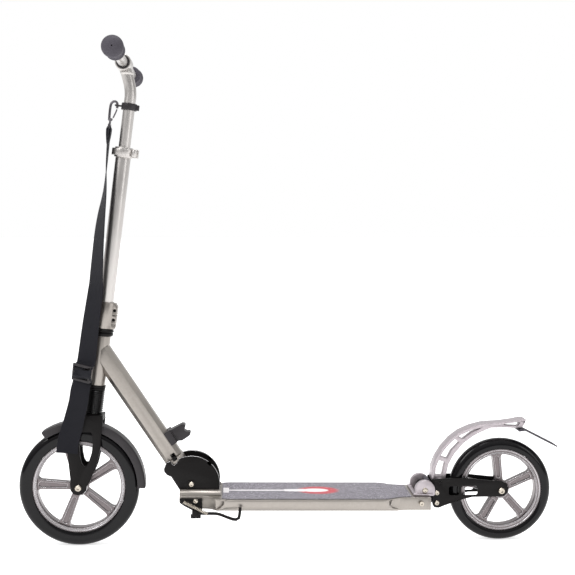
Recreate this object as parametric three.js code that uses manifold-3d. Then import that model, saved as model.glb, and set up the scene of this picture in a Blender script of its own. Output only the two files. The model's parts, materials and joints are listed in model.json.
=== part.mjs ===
// Adult kick scooter with big wheels, folding stem and sprung wheels, in millimetres.
// +X runs to the rear, +Z is up, the rider's left is -Y. The ground is z = 0.
import * as THREE from 'three';
import { mergeVertices } from 'three/addons/utils/BufferGeometryUtils.js';
import Module from 'manifold-3d';

const wasm = await Module();
wasm.setup();

// ---- driving dimensions -------------------------------------------------
const GAP = 0.3;
const FRONT_R = 115;
const REAR_R = 100;
const WHEELBASE = 816;
const TYRE_HALF = 14.5;
const STEER_LEAN = 7.25;
const FORK_OFFSET = 8.4;
const STEM_R = 14.3;
const UPPER_R = 11.1;
const BAR_HALF = 224;
const GRIP_INNER = 165;
const PIVOT_X = 215.5;
const PIVOT_Z = 121.5;
const FOLD_TRAVEL = 75;
const LOCK_R = 58.6;
const DECK_FRONT = 193;
const DECK_LENGTH = 480;
const DECK_TOP = 102.3;
const DECK_TILT = 0.73;
const DECK_HALF = 72;
const DECK_THICK = 24.5;
const DOWN_TUBE_ANGLE = 56.4;
const REAR_PIVOT_X = 664;
const REAR_PIVOT_Z = 105.4;
const BRAKE_PIN_X = 696;
const BRAKE_PIN_Z = 117.5;
const BRAKE_WEB_HALF = 7;
const TUBE_HALF = 16.9;
const TUBE_DEEP = 18.5;
const TUBE_SIDES = 22;
const WHEEL_SIDES = 40;

// ---- derived dimensions -------------------------------------------------
const LEG_INNER = 19;
const LEG_OUTER = 24.5;
const PLATE_INNER = 24.5;
const PLATE_OUTER = 29.5;
const PLATE_R = 54.5;
const FOLD_BOLT_R = 4;
const HEAD_LOW = 197.6;
const HEAD_HIGH = 292.3;
const CROWN_HIGH = 139.5;
const CLAMP_LOW = 307;
const CLAMP_HIGH = 357;
const COLLAR_LOW = 633.5;
const COLLAR_HIGH = 652.5;
const RING_MID = 729.5;
const BAR_HIGH = 809;
const BAR_AHEAD = 19;
const radians = THREE.MathUtils.degToRad;

// ---- solid helpers ------------------------------------------------------
function signedVolume(points, triangles) {
  let total = 0;
  const corners = [new THREE.Vector3(), new THREE.Vector3(), new THREE.Vector3()];
  for (let i = 0; i < triangles.length; i += 3) {
    corners.forEach((corner, k) => corner.fromArray(points, triangles[i + k] * 3));
    total += corners[0].dot(corners[1].clone().cross(corners[2]));
  }
  return total;
}

function solid(geometry) {
  const copy = geometry.clone();
  copy.deleteAttribute('normal');
  copy.deleteAttribute('uv');
  const merged = mergeVertices(copy, 1e-4);
  const vertProperties = new Float32Array(merged.attributes.position.array);
  const triVerts = new Uint32Array(merged.index.array);
  if (signedVolume(vertProperties, triVerts) < 0) {
    for (let i = 0; i < triVerts.length; i += 3) {
      [triVerts[i], triVerts[i + 1]] = [triVerts[i + 1], triVerts[i]];
    }
  }
  return new wasm.Manifold(new wasm.Mesh({ numProp: 3, vertProperties, triVerts }));
}

function join(...pieces) {
  return pieces.reduce((whole, piece) => whole.add(piece));
}

function cut(body, ...tools) {
  return tools.reduce((whole, tool) => whole.subtract(tool), body);
}

function block(x0, x1, y0, y1, z0, z1) {
  const geometry = new THREE.BoxGeometry(x1 - x0, y1 - y0, z1 - z0);
  return solid(geometry.translate((x0 + x1) / 2, (y0 + y1) / 2, (z0 + z1) / 2));
}

// A closed outline, always counter-clockwise so that its windows extrude as holes.
function outline(points) {
  const corners = points.map(([x, z]) => new THREE.Vector2(x, z));
  return new THREE.Shape(THREE.ShapeUtils.isClockWise(corners) ? corners.reverse() : corners);
}

// A plate lying in the XZ plane between two Y values.
function plate(shape, y0, y1, curve = 10) {
  const geometry = new THREE.ExtrudeGeometry(shape, {
    depth: y1 - y0, bevelEnabled: false, curveSegments: curve,
  });
  return solid(geometry.rotateX(Math.PI / 2).translate(0, y1, 0));
}

// A plate lying in the XY plane between two Z values.
function sheet(shape, z0, z1, curve = 10) {
  const geometry = new THREE.ExtrudeGeometry(shape, {
    depth: z1 - z0, bevelEnabled: false, curveSegments: curve,
  });
  return solid(geometry.translate(0, 0, z0));
}

// A beam with a YZ section running between two X values.
function beam(points, x0, x1) {
  const geometry = new THREE.ExtrudeGeometry(outline(points), { depth: x1 - x0, bevelEnabled: false });
  geometry.rotateX(Math.PI / 2);
  geometry.rotateZ(Math.PI / 2);
  return solid(geometry.translate(x0, 0, 0));
}

// A round body turned about the line from a point along a direction.
function turned(profile, from, direction, sides = TUBE_SIDES) {
  const geometry = new THREE.LatheGeometry(
    profile.map(([r, h]) => new THREE.Vector2(r, h)), sides);
  const up = new THREE.Vector3(0, 1, 0);
  const along = new THREE.Vector3(...direction).normalize();
  geometry.applyQuaternion(new THREE.Quaternion().setFromUnitVectors(up, along));
  return solid(geometry.translate(...from));
}

function rod(radius, from, to, sides = TUBE_SIDES) {
  const direction = to.map((value, i) => value - from[i]);
  const length = Math.hypot(...direction);
  return turned([[0, 0], [radius, 0], [radius, length], [0, length]], from, direction, sides);
}

function pipe(inner, outer, from, to, sides = TUBE_SIDES) {
  const direction = to.map((value, i) => value - from[i]);
  const length = Math.hypot(...direction);
  const wall = [[inner, 0], [outer, 0], [outer, length], [inner, length], [inner, 0]];
  return turned(wall, from, direction, sides);
}

// A round bar that follows a curve through points.
function bentRod(radius, points, steps, sides = 8) {
  const path = new THREE.CatmullRomCurve3(points.map((p) => new THREE.Vector3(...p)), false, 'centripetal');
  const ring = new THREE.Shape();
  ring.absarc(0, 0, radius, 0, Math.PI * 2);
  return solid(new THREE.ExtrudeGeometry(ring, {
    steps, bevelEnabled: false, extrudePath: path, curveSegments: sides,
  }));
}

// Built upright on the origin, then laid over onto the steering axis.
function onSteering(body) {
  return body.rotate([0, STEER_LEAN, 0]).translate([FORK_OFFSET, 0, FRONT_R]);
}

// Built on a level deck top with x = 0 at its front edge, then tilted.
function onDeck(body) {
  return body.rotate([0, DECK_TILT, 0]).translate([DECK_FRONT, 0, DECK_TOP]);
}

function deckHeight(x) {
  return DECK_TOP - Math.tan(radians(DECK_TILT)) * (x - DECK_FRONT);
}

function crossBolt(radius, headR, x, z, reach, head, sides = 12) {
  const profile = [
    [0, -reach - head], [headR, -reach - head], [headR, -reach - GAP], [radius, -reach - GAP],
    [radius, reach + GAP], [headR, reach + GAP], [headR, reach + head], [0, reach + head],
  ];
  return turned(profile, [x, 0, z], [0, 1, 0], sides);
}

function across(radius, x, z, y0, y1, sides = 24) {
  return rod(radius, [x, y0, z], [x, y1, z], sides);
}

// ---- finishes -----------------------------------------------------------
const FINISH = {
  silver: [0xc9c7c5, 0.28, 0.9],
  grey: [0xa39b92, 0.38, 0.7],
  cast: [0xc4bec0, 0.4, 0.75],
  wheel: [0x6f6a6a, 0.35, 0.7],
  black: [0x17171b, 0.45, 0.2],
  plastic: [0x3b3c42, 0.5, 0.0],
  rubber: [0x47464b, 0.8, 0.0],
  tyre: [0x101013, 0.3, 0.0],
  tape: [0x77757e, 0.95, 0.0],
  webbing: [0x2b2c33, 0.95, 0.0],
  screw: [0xd8d2ca, 0.25, 0.95],
};

const scooter = new THREE.Group();
scooter.name = 'kick_scooter';

function add(name, body, finish) {
  const data = body.getMesh();
  const geometry = new THREE.BufferGeometry();
  geometry.setAttribute('position', new THREE.BufferAttribute(new Float32Array(data.vertProperties), 3));
  geometry.setIndex(new THREE.BufferAttribute(new Uint32Array(data.triVerts), 1));
  geometry.computeVertexNormals();
  const [color, roughness, metalness] = FINISH[finish];
  const material = new THREE.MeshStandardMaterial({ color, roughness, metalness });
  const mesh = new THREE.Mesh(geometry, material);
  mesh.name = name;
  scooter.add(mesh);
}

// ---- wheels -------------------------------------------------------------
function tyre(x, z, inner, outer) {
  const crown = [];
  const steps = 6;
  for (let i = 0; i <= steps; i += 1) {
    const turn = Math.PI * (i / steps - 0.5);
    crown.push([outer - TYRE_HALF + TYRE_HALF * Math.cos(turn), TYRE_HALF * Math.sin(turn)]);
  }
  const profile = [[inner, -11.5], ...crown, [inner, 11.5], [inner, -11.5]];
  return turned(profile, [x, 0, z], [0, 1, 0], WHEEL_SIDES);
}

function wheelSpoke(turn, inner, outer, x, z) {
  const bar = outline([[inner, -13], [outer, -11], [outer, 11], [inner, 13]]);
  const body = plate(bar, -7.5, 7.5);
  const reach = outer - inner;
  const trough = outline([
    [inner + 0.22 * reach, -6], [inner + 0.9 * reach, -5],
    [inner + 0.9 * reach, 5], [inner + 0.22 * reach, 6],
  ]);
  const spoke = cut(body, plate(trough, 4.5, 9), plate(trough, -9, -4.5));
  return spoke.rotate([0, -turn, 0]).translate([x, 0, z]);
}

function rim(x, z, opening, outer, firstSpoke) {
  const band = turned([
    [opening, -10], [opening + 3, -12.5], [outer, -12.5], [outer, 12.5],
    [opening + 3, 12.5], [opening, 10], [opening, -10],
  ], [x, 0, z], [0, 1, 0], WHEEL_SIDES);
  const hub = turned([
    [11.3, -13], [16, -13], [17.5, -8], [17.5, 8], [16, 13], [11.3, 13], [11.3, -13],
  ], [x, 0, z], [0, 1, 0], TUBE_SIDES);
  const spokes = [0, 1, 2, 3, 4].map((i) => wheelSpoke(firstSpoke + 72 * i, 15, opening + 2, x, z));
  return cut(join(band, hub, ...spokes), across(11.3, x, z, -20, 20, TUBE_SIDES));
}

function wheelBearing(x, z, side) {
  const near = side * 5.5;
  const far = side * 12.5;
  return pipe(4.35, 11, [x, Math.min(near, far), z], [x, Math.max(near, far), z], 16);
}

function wheelSet(prefix, x, z, radius, rimOuter, opening, firstSpoke) {
  add(`${prefix}_tyre`, tyre(x, z, rimOuter + GAP, radius), 'tyre');
  add(`${prefix}_rim`, rim(x, z, opening, rimOuter, firstSpoke), 'wheel');
  add(`${prefix}_bearing_left`, wheelBearing(x, z, -1), 'silver');
  add(`${prefix}_bearing_right`, wheelBearing(x, z, 1), 'silver');
}

// ---- deck ---------------------------------------------------------------
function deckSection() {
  const half = [
    [DECK_HALF - 2, 0], [DECK_HALF, -2], [DECK_HALF, -10],
    [DECK_HALF - 4, -18], [DECK_HALF - 14, -DECK_THICK],
  ];
  const mirror = half.map(([y, z]) => [-y, z]).reverse();
  return [...half, ...mirror];
}

function deckPlan(inset, start, end) {
  const front = 43 - inset;
  const full = DECK_HALF - inset;
  const rear = 53 - inset;
  const shape = new THREE.Shape();
  shape.moveTo(start, -front);
  shape.lineTo(44, -front);
  shape.bezierCurveTo(70, -front, 70, -full, 96, -full);
  shape.lineTo(386, -full);
  shape.bezierCurveTo(406, -full, 408, -rear, 440, -rear);
  shape.lineTo(end, -rear);
  shape.lineTo(end, rear);
  shape.lineTo(440, rear);
  shape.bezierCurveTo(408, rear, 406, full, 386, full);
  shape.lineTo(96, full);
  shape.bezierCurveTo(70, full, 70, front, 44, front);
  shape.lineTo(start, front);
  return shape;
}

function deck() {
  const bar = beam(deckSection(), 0, DECK_LENGTH);
  const plan = sheet(deckPlan(0, 0, DECK_LENGTH), -40, 10, 8);
  const middle = block(-5, DECK_LENGTH + 5, -38, -2, -DECK_THICK + 3, -3.5);
  const sideCell = beam([[57, -3.5], [69, -3.5], [69, -10], [65, -17], [57, -20.5]], -5, DECK_LENGTH + 5);
  const cells = [middle, middle.mirror([0, 1, 0]), sideCell, sideCell.mirror([0, 1, 0])];
  const nose = plate(outline([[-5, -13.3], [0, -13.3], [39, -DECK_THICK - 0.1], [39, -40], [-5, -40]]), -90, 90);
  return onDeck(cut(bar.intersect(plan), ...cells, nose));
}

function gripTape() {
  const whole = sheet(deckPlan(4, 0, 443), GAP, 1.2, 8);
  return onDeck(cut(whole, block(-10, 81, -100, 100, -5, 5)));
}

function foldBase() {
  const half = [[29.9, 3.3], [29.9, 10.5], [33.5, 10], [38.5, 7.5], [41.5, 3.5], [42, GAP]];
  const mirror = half.map(([y, z]) => [-y, z]).reverse();
  return onDeck(beam([...half, ...mirror], 0, 79));
}

// ---- fold bracket -------------------------------------------------------
function quadrantShape() {
  const shape = new THREE.Shape();
  const start = radians(-9);
  const end = radians(115);
  shape.moveTo(PIVOT_X + PLATE_R * Math.cos(start), deckHeight(PIVOT_X) + 4.4);
  shape.lineTo(PIVOT_X + PLATE_R * Math.cos(start), PIVOT_Z + PLATE_R * Math.sin(start));
  shape.absarc(PIVOT_X, PIVOT_Z, PLATE_R, start, end, false);
  const ear = [
    [28, 41], [32.5, 36.6], [35.5, 38], [38, 43], [41.5, 44.6], [46, 42.6], [50, 36.5],
    [52.6, 29.5], [51.6, 24], [47, 18.6], [39, 15],
  ];
  for (const [ahead, above] of ear) {
    shape.lineTo(PIVOT_X - ahead, PIVOT_Z + above);
  }
  shape.lineTo(PIVOT_X - 20, deckHeight(PIVOT_X) + 4.4);
  return shape;
}

function quadrant(side) {
  const y0 = side > 0 ? PLATE_INNER : -PLATE_OUTER;
  const y1 = side > 0 ? PLATE_OUTER : -PLATE_INNER;
  const body = plate(quadrantShape(), y0, y1, 14);
  const bore = across(FOLD_BOLT_R + 0.05, PIVOT_X, PIVOT_Z, -60, 60);
  return cut(body, bore, foldNotch());
}

// The slot that the lock pin drops into when the stem is folded down.
function foldNotch() {
  const turn = 123.6 - FOLD_TRAVEL;
  const slot = block(50.2, 60, -60, 60, -3.9, 3.9);
  return slot.rotate([0, -turn, 0]).translate([PIVOT_X, 0, PIVOT_Z]);
}

// ---- front frame --------------------------------------------------------
const ALONG = [Math.cos(radians(DOWN_TUBE_ANGLE)), -Math.sin(radians(DOWN_TUBE_ANGLE))];
const ACROSS = [-ALONG[1], ALONG[0]];
const PIVOT_OUT = 3;

// A point measured up the down tube from the fold pivot, and out from the tube's centre line.
function tubePoint(back, out) {
  const shift = out - PIVOT_OUT;
  return [
    PIVOT_X - ALONG[0] * back + ACROSS[0] * shift,
    PIVOT_Z - ALONG[1] * back + ACROSS[1] * shift,
  ];
}

function alongTube(points, y0, y1) {
  return plate(outline(points.map(([back, out]) => tubePoint(back, out))), y0, y1);
}

// A beam with a section of [y, out] points that runs up the down tube.
function tubeBeam(points, start, end) {
  const geometry = new THREE.ExtrudeGeometry(outline(points), { depth: end - start, bevelEnabled: false });
  const [x, z] = tubePoint(start, 0);
  const frame = new THREE.Matrix4().makeBasis(
    new THREE.Vector3(0, -1, 0),
    new THREE.Vector3(ACROSS[0], 0, ACROSS[1]),
    new THREE.Vector3(-ALONG[0], 0, -ALONG[1]));
  frame.setPosition(x, 0, z);
  return solid(geometry.applyMatrix4(frame));
}

function tubeRod(radius, from, to, sides = 16) {
  const [x0, z0] = tubePoint(from[0], from[1]);
  const [x1, z1] = tubePoint(to[0], to[1]);
  return rod(radius, [x0, 0, z0], [x1, 0, z1], sides);
}

function chamferedSection(half, deep, chamfer) {
  return [
    [half - chamfer, -deep], [half, chamfer - deep], [half, deep - chamfer], [half - chamfer, deep],
    [chamfer - half, deep], [-half, deep - chamfer], [-half, chamfer - deep], [chamfer - half, -deep],
  ];
}

function downTube() {
  const start = 58.9;
  const end = 308;
  const skin = tubeBeam(chamferedSection(TUBE_HALF, TUBE_DEEP, 7.5), start, end);
  const hollow = tubeBeam(chamferedSection(TUBE_HALF - 3, TUBE_DEEP - 3, 6), start - 5, end + 5);
  const headSpace = onSteering(rod(17.2, [0, 0, 100], [0, 0, 400], 40));
  const beyond = onSteering(block(-60, 0, -40, 40, 60, 500));
  const [slotLow, slotHigh] = [PIVOT_OUT - 4.2, PIVOT_OUT + 4.2];
  const slotEnd = LOCK_R + 9;
  const lockSlot = alongTube([[50, slotLow], [slotEnd, slotLow], [slotEnd, slotHigh], [50, slotHigh]], -30, 30);
  const riserSlot = alongTube([[87, 5], [101, 5], [101, 30], [87, 30]], -3.6, 3.6);
  return cut(skin, hollow, headSpace, beyond, lockSlot, riserSlot);
}

function hingeBlock() {
  const boss = across(14, PIVOT_X, PIVOT_Z, -24.2, 24.2);
  const neck = alongTube([[0, -11], [58.5, -18], [58.5, 17], [0, 17]], -24.2, 24.2);
  const plug = tubeBeam(chamferedSection(13.4, 15, 6), 57, 84);
  const bore = across(FOLD_BOLT_R + 0.05, PIVOT_X, PIVOT_Z, -40, 40);
  const lockSlot = alongTube([[LOCK_R - 4.2, PIVOT_OUT - 4.2], [LOCK_R + 9, PIVOT_OUT - 4.2],
    [LOCK_R + 9, PIVOT_OUT + 4.2], [LOCK_R - 4.2, PIVOT_OUT + 4.2]], -30, 30);
  const rodBore = tubeRod(4.3, [LOCK_R - 4, PIVOT_OUT], [100, PIVOT_OUT]);
  return cut(join(boss, neck, plug), bore, lockSlot, rodBore);
}

function lockPin() {
  const [x, z] = tubePoint(LOCK_R, PIVOT_OUT);
  const pin = across(3.6, x, z, -33, 33, 16);
  const stem = tubeRod(3.4, [LOCK_R, PIVOT_OUT], [95, PIVOT_OUT]);
  const riser = tubeRod(2.8, [92, PIVOT_OUT], [92, 27]);
  return join(pin, stem, riser);
}

function releaseHandle() {
  const seat = TUBE_DEEP + 0.5;
  const grip = alongTube([
    [81, seat], [109, seat], [107, seat + 6], [104, 50], [101, 54], [97, 54], [94.5, 49],
    [90, 47.5], [86, 49.5], [83.5, 54], [80, 54.5], [77.5, 50], [77.5, seat + 14], [81, seat + 8],
  ], -13, 13);
  const saddle = alongTube([[81, 11.5], [109, 11.5], [109, seat + 6], [81, seat + 6]], -20.5, 20.5);
  const opening = tubeBeam(chamferedSection(TUBE_HALF + 0.5, TUBE_DEEP + 0.5, 7.5), 70, 115);
  const socket = tubeRod(3.1, [92, 5], [92, 28]);
  return cut(join(grip, saddle), opening, socket);
}

function headTube() {
  return onSteering(pipe(14.6, 16.8, [0, 0, HEAD_LOW], [0, 0, HEAD_HIGH], 24));
}

function upperCup() {
  const profile = [
    [14.35, HEAD_HIGH + GAP], [19.5, HEAD_HIGH + GAP], [21, HEAD_HIGH + 3], [21, HEAD_HIGH + 6],
    [18.8, HEAD_HIGH + 7], [21.4, HEAD_HIGH + 8.5], [21.4, HEAD_HIGH + 11], [19, HEAD_HIGH + 14],
    [14.35, HEAD_HIGH + 14], [14.35, HEAD_HIGH + GAP],
  ];
  return onSteering(turned(profile, [0, 0, 0], [0, 0, 1], TUBE_SIDES));
}

function lowerCup() {
  return onSteering(pipe(14.35, 18.6, [0, 0, HEAD_LOW - 5], [0, 0, HEAD_LOW - GAP]));
}

// ---- steering column ----------------------------------------------------
function steerer() {
  const seat = HEAD_LOW - 9;
  const profile = [
    [12.3, seat], [18, seat], [18.4, seat + 1], [18.4, seat + 3.2], [14, seat + 3.6],
    [14, 330], [12.3, 330], [12.3, seat],
  ];
  return onSteering(turned(profile, [0, 0, 0], [0, 0, 1], TUBE_SIDES));
}

const CLAMP_SCREWS = [325, 343];

function pinchClamp() {
  const ring = rod(18.6, [0, 0, CLAMP_LOW], [0, 0, CLAMP_HIGH], 20);
  const lugShape = outline([
    [8, CLAMP_LOW], [22, CLAMP_LOW], [24, CLAMP_LOW + 4], [24, CLAMP_HIGH - 7],
    [19, CLAMP_HIGH], [8, CLAMP_HIGH],
  ]);
  const lug = plate(lugShape, -11, 11);
  const bore = rod(14.7, [0, 0, 300], [0, 0, 360], 20);
  const slit = block(5, 40, -1, 1, 300, 360);
  const screws = CLAMP_SCREWS.map((h) => across(1.9, 19, h, -20, 20, 10));
  const sinks = CLAMP_SCREWS.map((h) => across(3.2, 19, h, -20, -8, 12));
  const slots = [CLAMP_LOW + 8.5, CLAMP_HIGH - 23.5].map((h) => block(15, 40, -30, 30, h, h + 1.2));
  return onSteering(cut(join(ring, lug), bore, slit, ...screws, ...sinks, ...slots));
}

function pinchScrew(h) {
  const profile = [[0, -10.6], [2.8, -10.6], [2.8, -8 - GAP], [1.6, -8 - GAP], [1.6, 10.6], [0, 10.6]];
  return onSteering(turned(profile, [19, 0, h], [0, 1, 0], 10));
}

function lowerStem() {
  return onSteering(pipe(11.4, STEM_R, [0, 0, 331], [0, 0, COLLAR_HIGH - 2], 24));
}

const LEVER_PIVOT = [21, -16.6];

function quickCollar() {
  const ring = rod(17.4, [0, 0, COLLAR_LOW], [0, 0, COLLAR_HIGH], 24);
  const ears = block(12, 28, -8, 8, COLLAR_LOW + 1.5, COLLAR_HIGH - 1.5);
  const bore = rod(14.7, [0, 0, COLLAR_LOW - 5], [0, 0, COLLAR_HIGH + 5], 24);
  const slit = block(5, 40, -1, 1, COLLAR_LOW - 5, COLLAR_HIGH + 5);
  const hole = across(2.8, 22.5, (COLLAR_LOW + COLLAR_HIGH) / 2, -20, 20, 16);
  return onSteering(cut(join(ring, ears), bore, slit, hole));
}

function quickSkewer() {
  const profile = [[0, -10.6], [4.5, -10.6], [4.5, -8.4], [2.5, -8.4], [2.5, 8.4], [5, 8.4], [5, 13], [0, 13]];
  return onSteering(turned(profile, [22.5, 0, (COLLAR_LOW + COLLAR_HIGH) / 2], [0, 1, 0], 10));
}

function quickLever() {
  const low = COLLAR_LOW + 3;
  const high = COLLAR_HIGH - 3;
  const arm = new THREE.Shape();
  arm.absarc(0, 0, 22.4, radians(-36), radians(-190), true);
  arm.absarc(0, 0, 19.2, radians(-190), radians(-36), false);
  const hub = rod(5.2, [...LEVER_PIVOT, low], [...LEVER_PIVOT, high], 16);
  return onSteering(join(sheet(arm, low, high, 16), hub));
}

// ---- handlebar ----------------------------------------------------------
function bentPipe(inner, outer, points, steps) {
  const path = new THREE.CatmullRomCurve3(points.map((p) => new THREE.Vector3(...p)), false, 'centripetal');
  const ring = new THREE.Shape();
  ring.absarc(0, 0, outer, 0, Math.PI * 2);
  const hole = new THREE.Path();
  hole.absarc(0, 0, inner, 0, Math.PI * 2, true);
  ring.holes.push(hole);
  return solid(new THREE.ExtrudeGeometry(ring, {
    steps, bevelEnabled: false, extrudePath: path, curveSegments: 10,
  }));
}

function upperStem() {
  const straight = pipe(9.5, UPPER_R, [0, 0, 430], [0, 0, 745], 20);
  const bend = bentPipe(9.5, UPPER_R, [
    [0, 0, 744], [0, 0, 752], [-2.5, 0, 765], [-7.5, 0, 780], [-13, 0, 793], [-BAR_AHEAD, 0, BAR_HIGH - 3],
  ], 7);
  const socket = pipe(9.35, 15.2, [-BAR_AHEAD, -25, BAR_HIGH], [-BAR_AHEAD, 25, BAR_HIGH]);
  const clear = rod(9.35, [-BAR_AHEAD, -30, BAR_HIGH], [-BAR_AHEAD, 30, BAR_HIGH]);
  return onSteering(join(cut(join(straight, bend), clear), socket));
}

function barTube(side) {
  const near = side * 2;
  const far = side * (BAR_HALF - 4.5);
  const ends = [Math.min(near, far), Math.max(near, far)];
  return onSteering(pipe(7.6, 9.05, [-BAR_AHEAD, ends[0], BAR_HIGH], [-BAR_AHEAD, ends[1], BAR_HIGH], 16));
}

function grip(side) {
  const inner = GRIP_INNER;
  const profile = [
    [9.35, inner], [17.5, inner], [17.5, inner + 4], [15, inner + 6], [15.4, inner + 14], [15.4, 203],
    [19.5, 212], [19.5, BAR_HALF - 5], [17.5, BAR_HALF - 1], [12, BAR_HALF + 0.5], [1.4, BAR_HALF + 0.8],
    [1.4, BAR_HALF - 4.1], [9.35, BAR_HALF - 4.1], [9.35, inner],
  ];
  return onSteering(turned(profile, [-BAR_AHEAD, 0, BAR_HIGH], [0, side, 0], 20));
}

const EYE_U = -22.3;

function strapRing() {
  const ring = pipe(11.4, 14.7, [0, 0, RING_MID - 6.5], [0, 0, RING_MID + 6.5]);
  const boss = block(11, 19, -5, 5, RING_MID - 5, RING_MID + 5);
  const eye = block(-27, -12, -4.6, 4.6, RING_MID - 1.5, RING_MID + 1.5);
  const bore = rod(11.4, [0, 0, RING_MID - 20], [0, 0, RING_MID + 20]);
  const hole = rod(3.2, [EYE_U, 0, RING_MID - 5], [EYE_U, 0, RING_MID + 5], 16);
  return onSteering(cut(join(ring, boss, eye), bore, hole));
}

// ---- snap hook ----------------------------------------------------------
const HOOK_FOOT = [-32.5, 0, 700];

function snapHook() {
  const limb = bentRod(2.4, [
    [-34.5, 0, 701], [-35, 0, 712], [-35, 0, 725], [-34, 0, 732], [-30.5, 0, 736],
    [-26, 0, 736.5], [-22.8, 0, 733], [EYE_U, 0, 728], [EYE_U, 0, 724],
  ], 18, 4);
  const ferrule = [[0, 0], [3.4, 0], [4.4, 2], [4.4, 5], [0, 5]];
  const foot = turned(ferrule, [HOOK_FOOT[0], 0, 699], [0, 0, 1], 16);
  const neck = rod(2, [HOOK_FOOT[0], 0, 692], [HOOK_FOOT[0], 0, 700], 12);
  const eye = block(HOOK_FOOT[0] - 2, HOOK_FOOT[0] + 2, -11, 11, 684, 693);
  const slot = block(HOOK_FOOT[0] - 5, HOOK_FOOT[0] + 5, -9, 9, 686, 690.5);
  return onSteering(cut(join(limb, foot, neck, eye), slot));
}

function hookGate() {
  const line = [[-27.6, 0, 705.2], [-25.6, 0, 711], [-23.2, 0, 718.2], [EYE_U, 0, 722.3]];
  return onSteering(bentRod(1.4, line, 5, 4));
}

// ---- carry strap --------------------------------------------------------
// A flat band through stations of [x, y, z, turn], the turn in degrees from facing sideways.
function ribbon(stations, width, thick) {
  const centres = stations.map((s) => new THREE.Vector3(s[0], s[1], s[2]));
  const rows = stations.map((s, i) => {
    const ahead = centres[Math.min(i + 1, centres.length - 1)];
    const behind = centres[Math.max(i - 1, 0)];
    const run = ahead.clone().sub(behind).normalize();
    const turn = radians(s[3]);
    const wide = new THREE.Vector3(Math.cos(turn), -Math.sin(turn), 0);
    wide.addScaledVector(run, -wide.dot(run)).normalize();
    const flat = run.clone().cross(wide).normalize();
    return [[-1, -1], [1, -1], [1, 1], [-1, 1]].map(([a, b]) => centres[i].clone()
      .addScaledVector(wide, a * width / 2).addScaledVector(flat, b * thick / 2));
  });
  const points = rows.flat().flatMap((p) => [p.x, p.y, p.z]);
  const faces = [0, 1, 2, 0, 2, 3];
  for (let i = 0; i + 1 < rows.length; i += 1) {
    for (let k = 0; k < 4; k += 1) {
      const a = i * 4 + k;
      const b = i * 4 + ((k + 1) % 4);
      faces.push(a, a + 4, b + 4, a, b + 4, b);
    }
  }
  const last = (rows.length - 1) * 4;
  faces.push(last, last + 2, last + 1, last, last + 3, last + 2);
  const geometry = new THREE.BufferGeometry();
  geometry.setAttribute('position', new THREE.Float32BufferAttribute(points, 3));
  geometry.setIndex(faces);
  return solid(geometry);
}

const STRAP_WIDTH = 40;
const STRAP_THICK = 2;

function strapUpper() {
  return ribbon([
    [62, 0, 793, 90], [60, -1, 765, 90], [57, -4, 725, 89], [54, -9, 680, 83],
    [50, -15, 625, 74], [42.6, -21, 561, 64], [36.5, -24, 500, 58], [31, -27, 453, 53],
    [27, -28.5, 425, 46], [21, -31, 385, 41], [16.5, -32, 361, 37],
  ], STRAP_WIDTH, STRAP_THICK);
}

function strapLower() {
  return ribbon([
    [5.5, -34, 314, 30], [3.6, -34.5, 300, 29], [0, -34.5, 283, 28], [-8, -33.5, 250, 25],
    [-17, -31.5, 220, 18], [-23.5, -30.5, 196, 3], [-26, -30, 184, 0],
  ], STRAP_WIDTH + 1, STRAP_THICK);
}

function strapBuckle() {
  const frame = block(-21, 21, -3, 3, -16, 16);
  const windows = [[-11.5, -2.8], [2.8, 11.5]].map(([a, b]) => block(-17.5, 17.5, -6, 6, a, b));
  return cut(frame, ...windows).rotate([0, 8, 0]).rotate([0, 0, -32]).translate([11, -38, 337.5]);
}

// ---- fork ---------------------------------------------------------------
function legShape() {
  const shape = outline([
    [4, 254], [48, 254], [47.5, 237], [43.8, 212], [42.5, 190], [34, 155], [21.5, 126],
    [16, 117], [15, 110], [9, 103.5], [0, 101.5], [-9, 103.5], [-14, 110], [-14.5, 117],
    [-14.5, 130], [-19.5, 180], [-18, 210], [-8, 238],
  ]);
  const window = new THREE.Path([
    [6, 222], [25, 222], [28, 218], [28.4, 200], [26, 182], [20, 164], [15, 157], [11, 157],
    [7, 163], [4.2, 178], [3, 200], [3.2, 218],
  ].map(([x, z]) => new THREE.Vector2(x, z)));
  shape.holes.push(window);
  return shape;
}

function fork() {
  const near = plate(legShape(), -LEG_OUTER, -LEG_INNER);
  const far = plate(legShape(), LEG_INNER, LEG_OUTER);
  const crown = plate(outline([[3, 254], [48, 254], [47.6, 242.8], [3, 242.8]]), -LEG_OUTER, LEG_OUTER);
  const guide = onSteering(pipe(7.6, 9.8, [0, 0, CROWN_HIGH - 4], [0, 0, HEAD_LOW + 8]));
  const seat = onSteering(rod(18, [0, 0, CROWN_HIGH - 5], [0, 0, CROWN_HIGH + 3]));
  const vent = onSteering(rod(7.6, [0, 0, CROWN_HIGH - 30], [0, 0, CROWN_HIGH + 20]));
  const axleHole = across(4.3, 0, FRONT_R, -40, 40, 20);
  return cut(join(near, far, crown, seat, guide), vent, axleHole);
}

function forkGaiter() {
  const low = CROWN_HIGH + 3.4;
  const high = HEAD_LOW - 9.4;
  const folds = 11;
  const pitch = (high - low) / folds;
  const skin = [];
  for (let i = 0; i < folds; i += 1) {
    skin.push([16.6, low + pitch * i], [18.9, low + pitch * (i + 0.5)]);
  }
  const profile = [[14.6, low], ...skin, [16.6, high], [14.6, high], [14.6, low]];
  return onSteering(turned(profile, [0, 0, 0], [0, 0, 1], 18));
}

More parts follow.
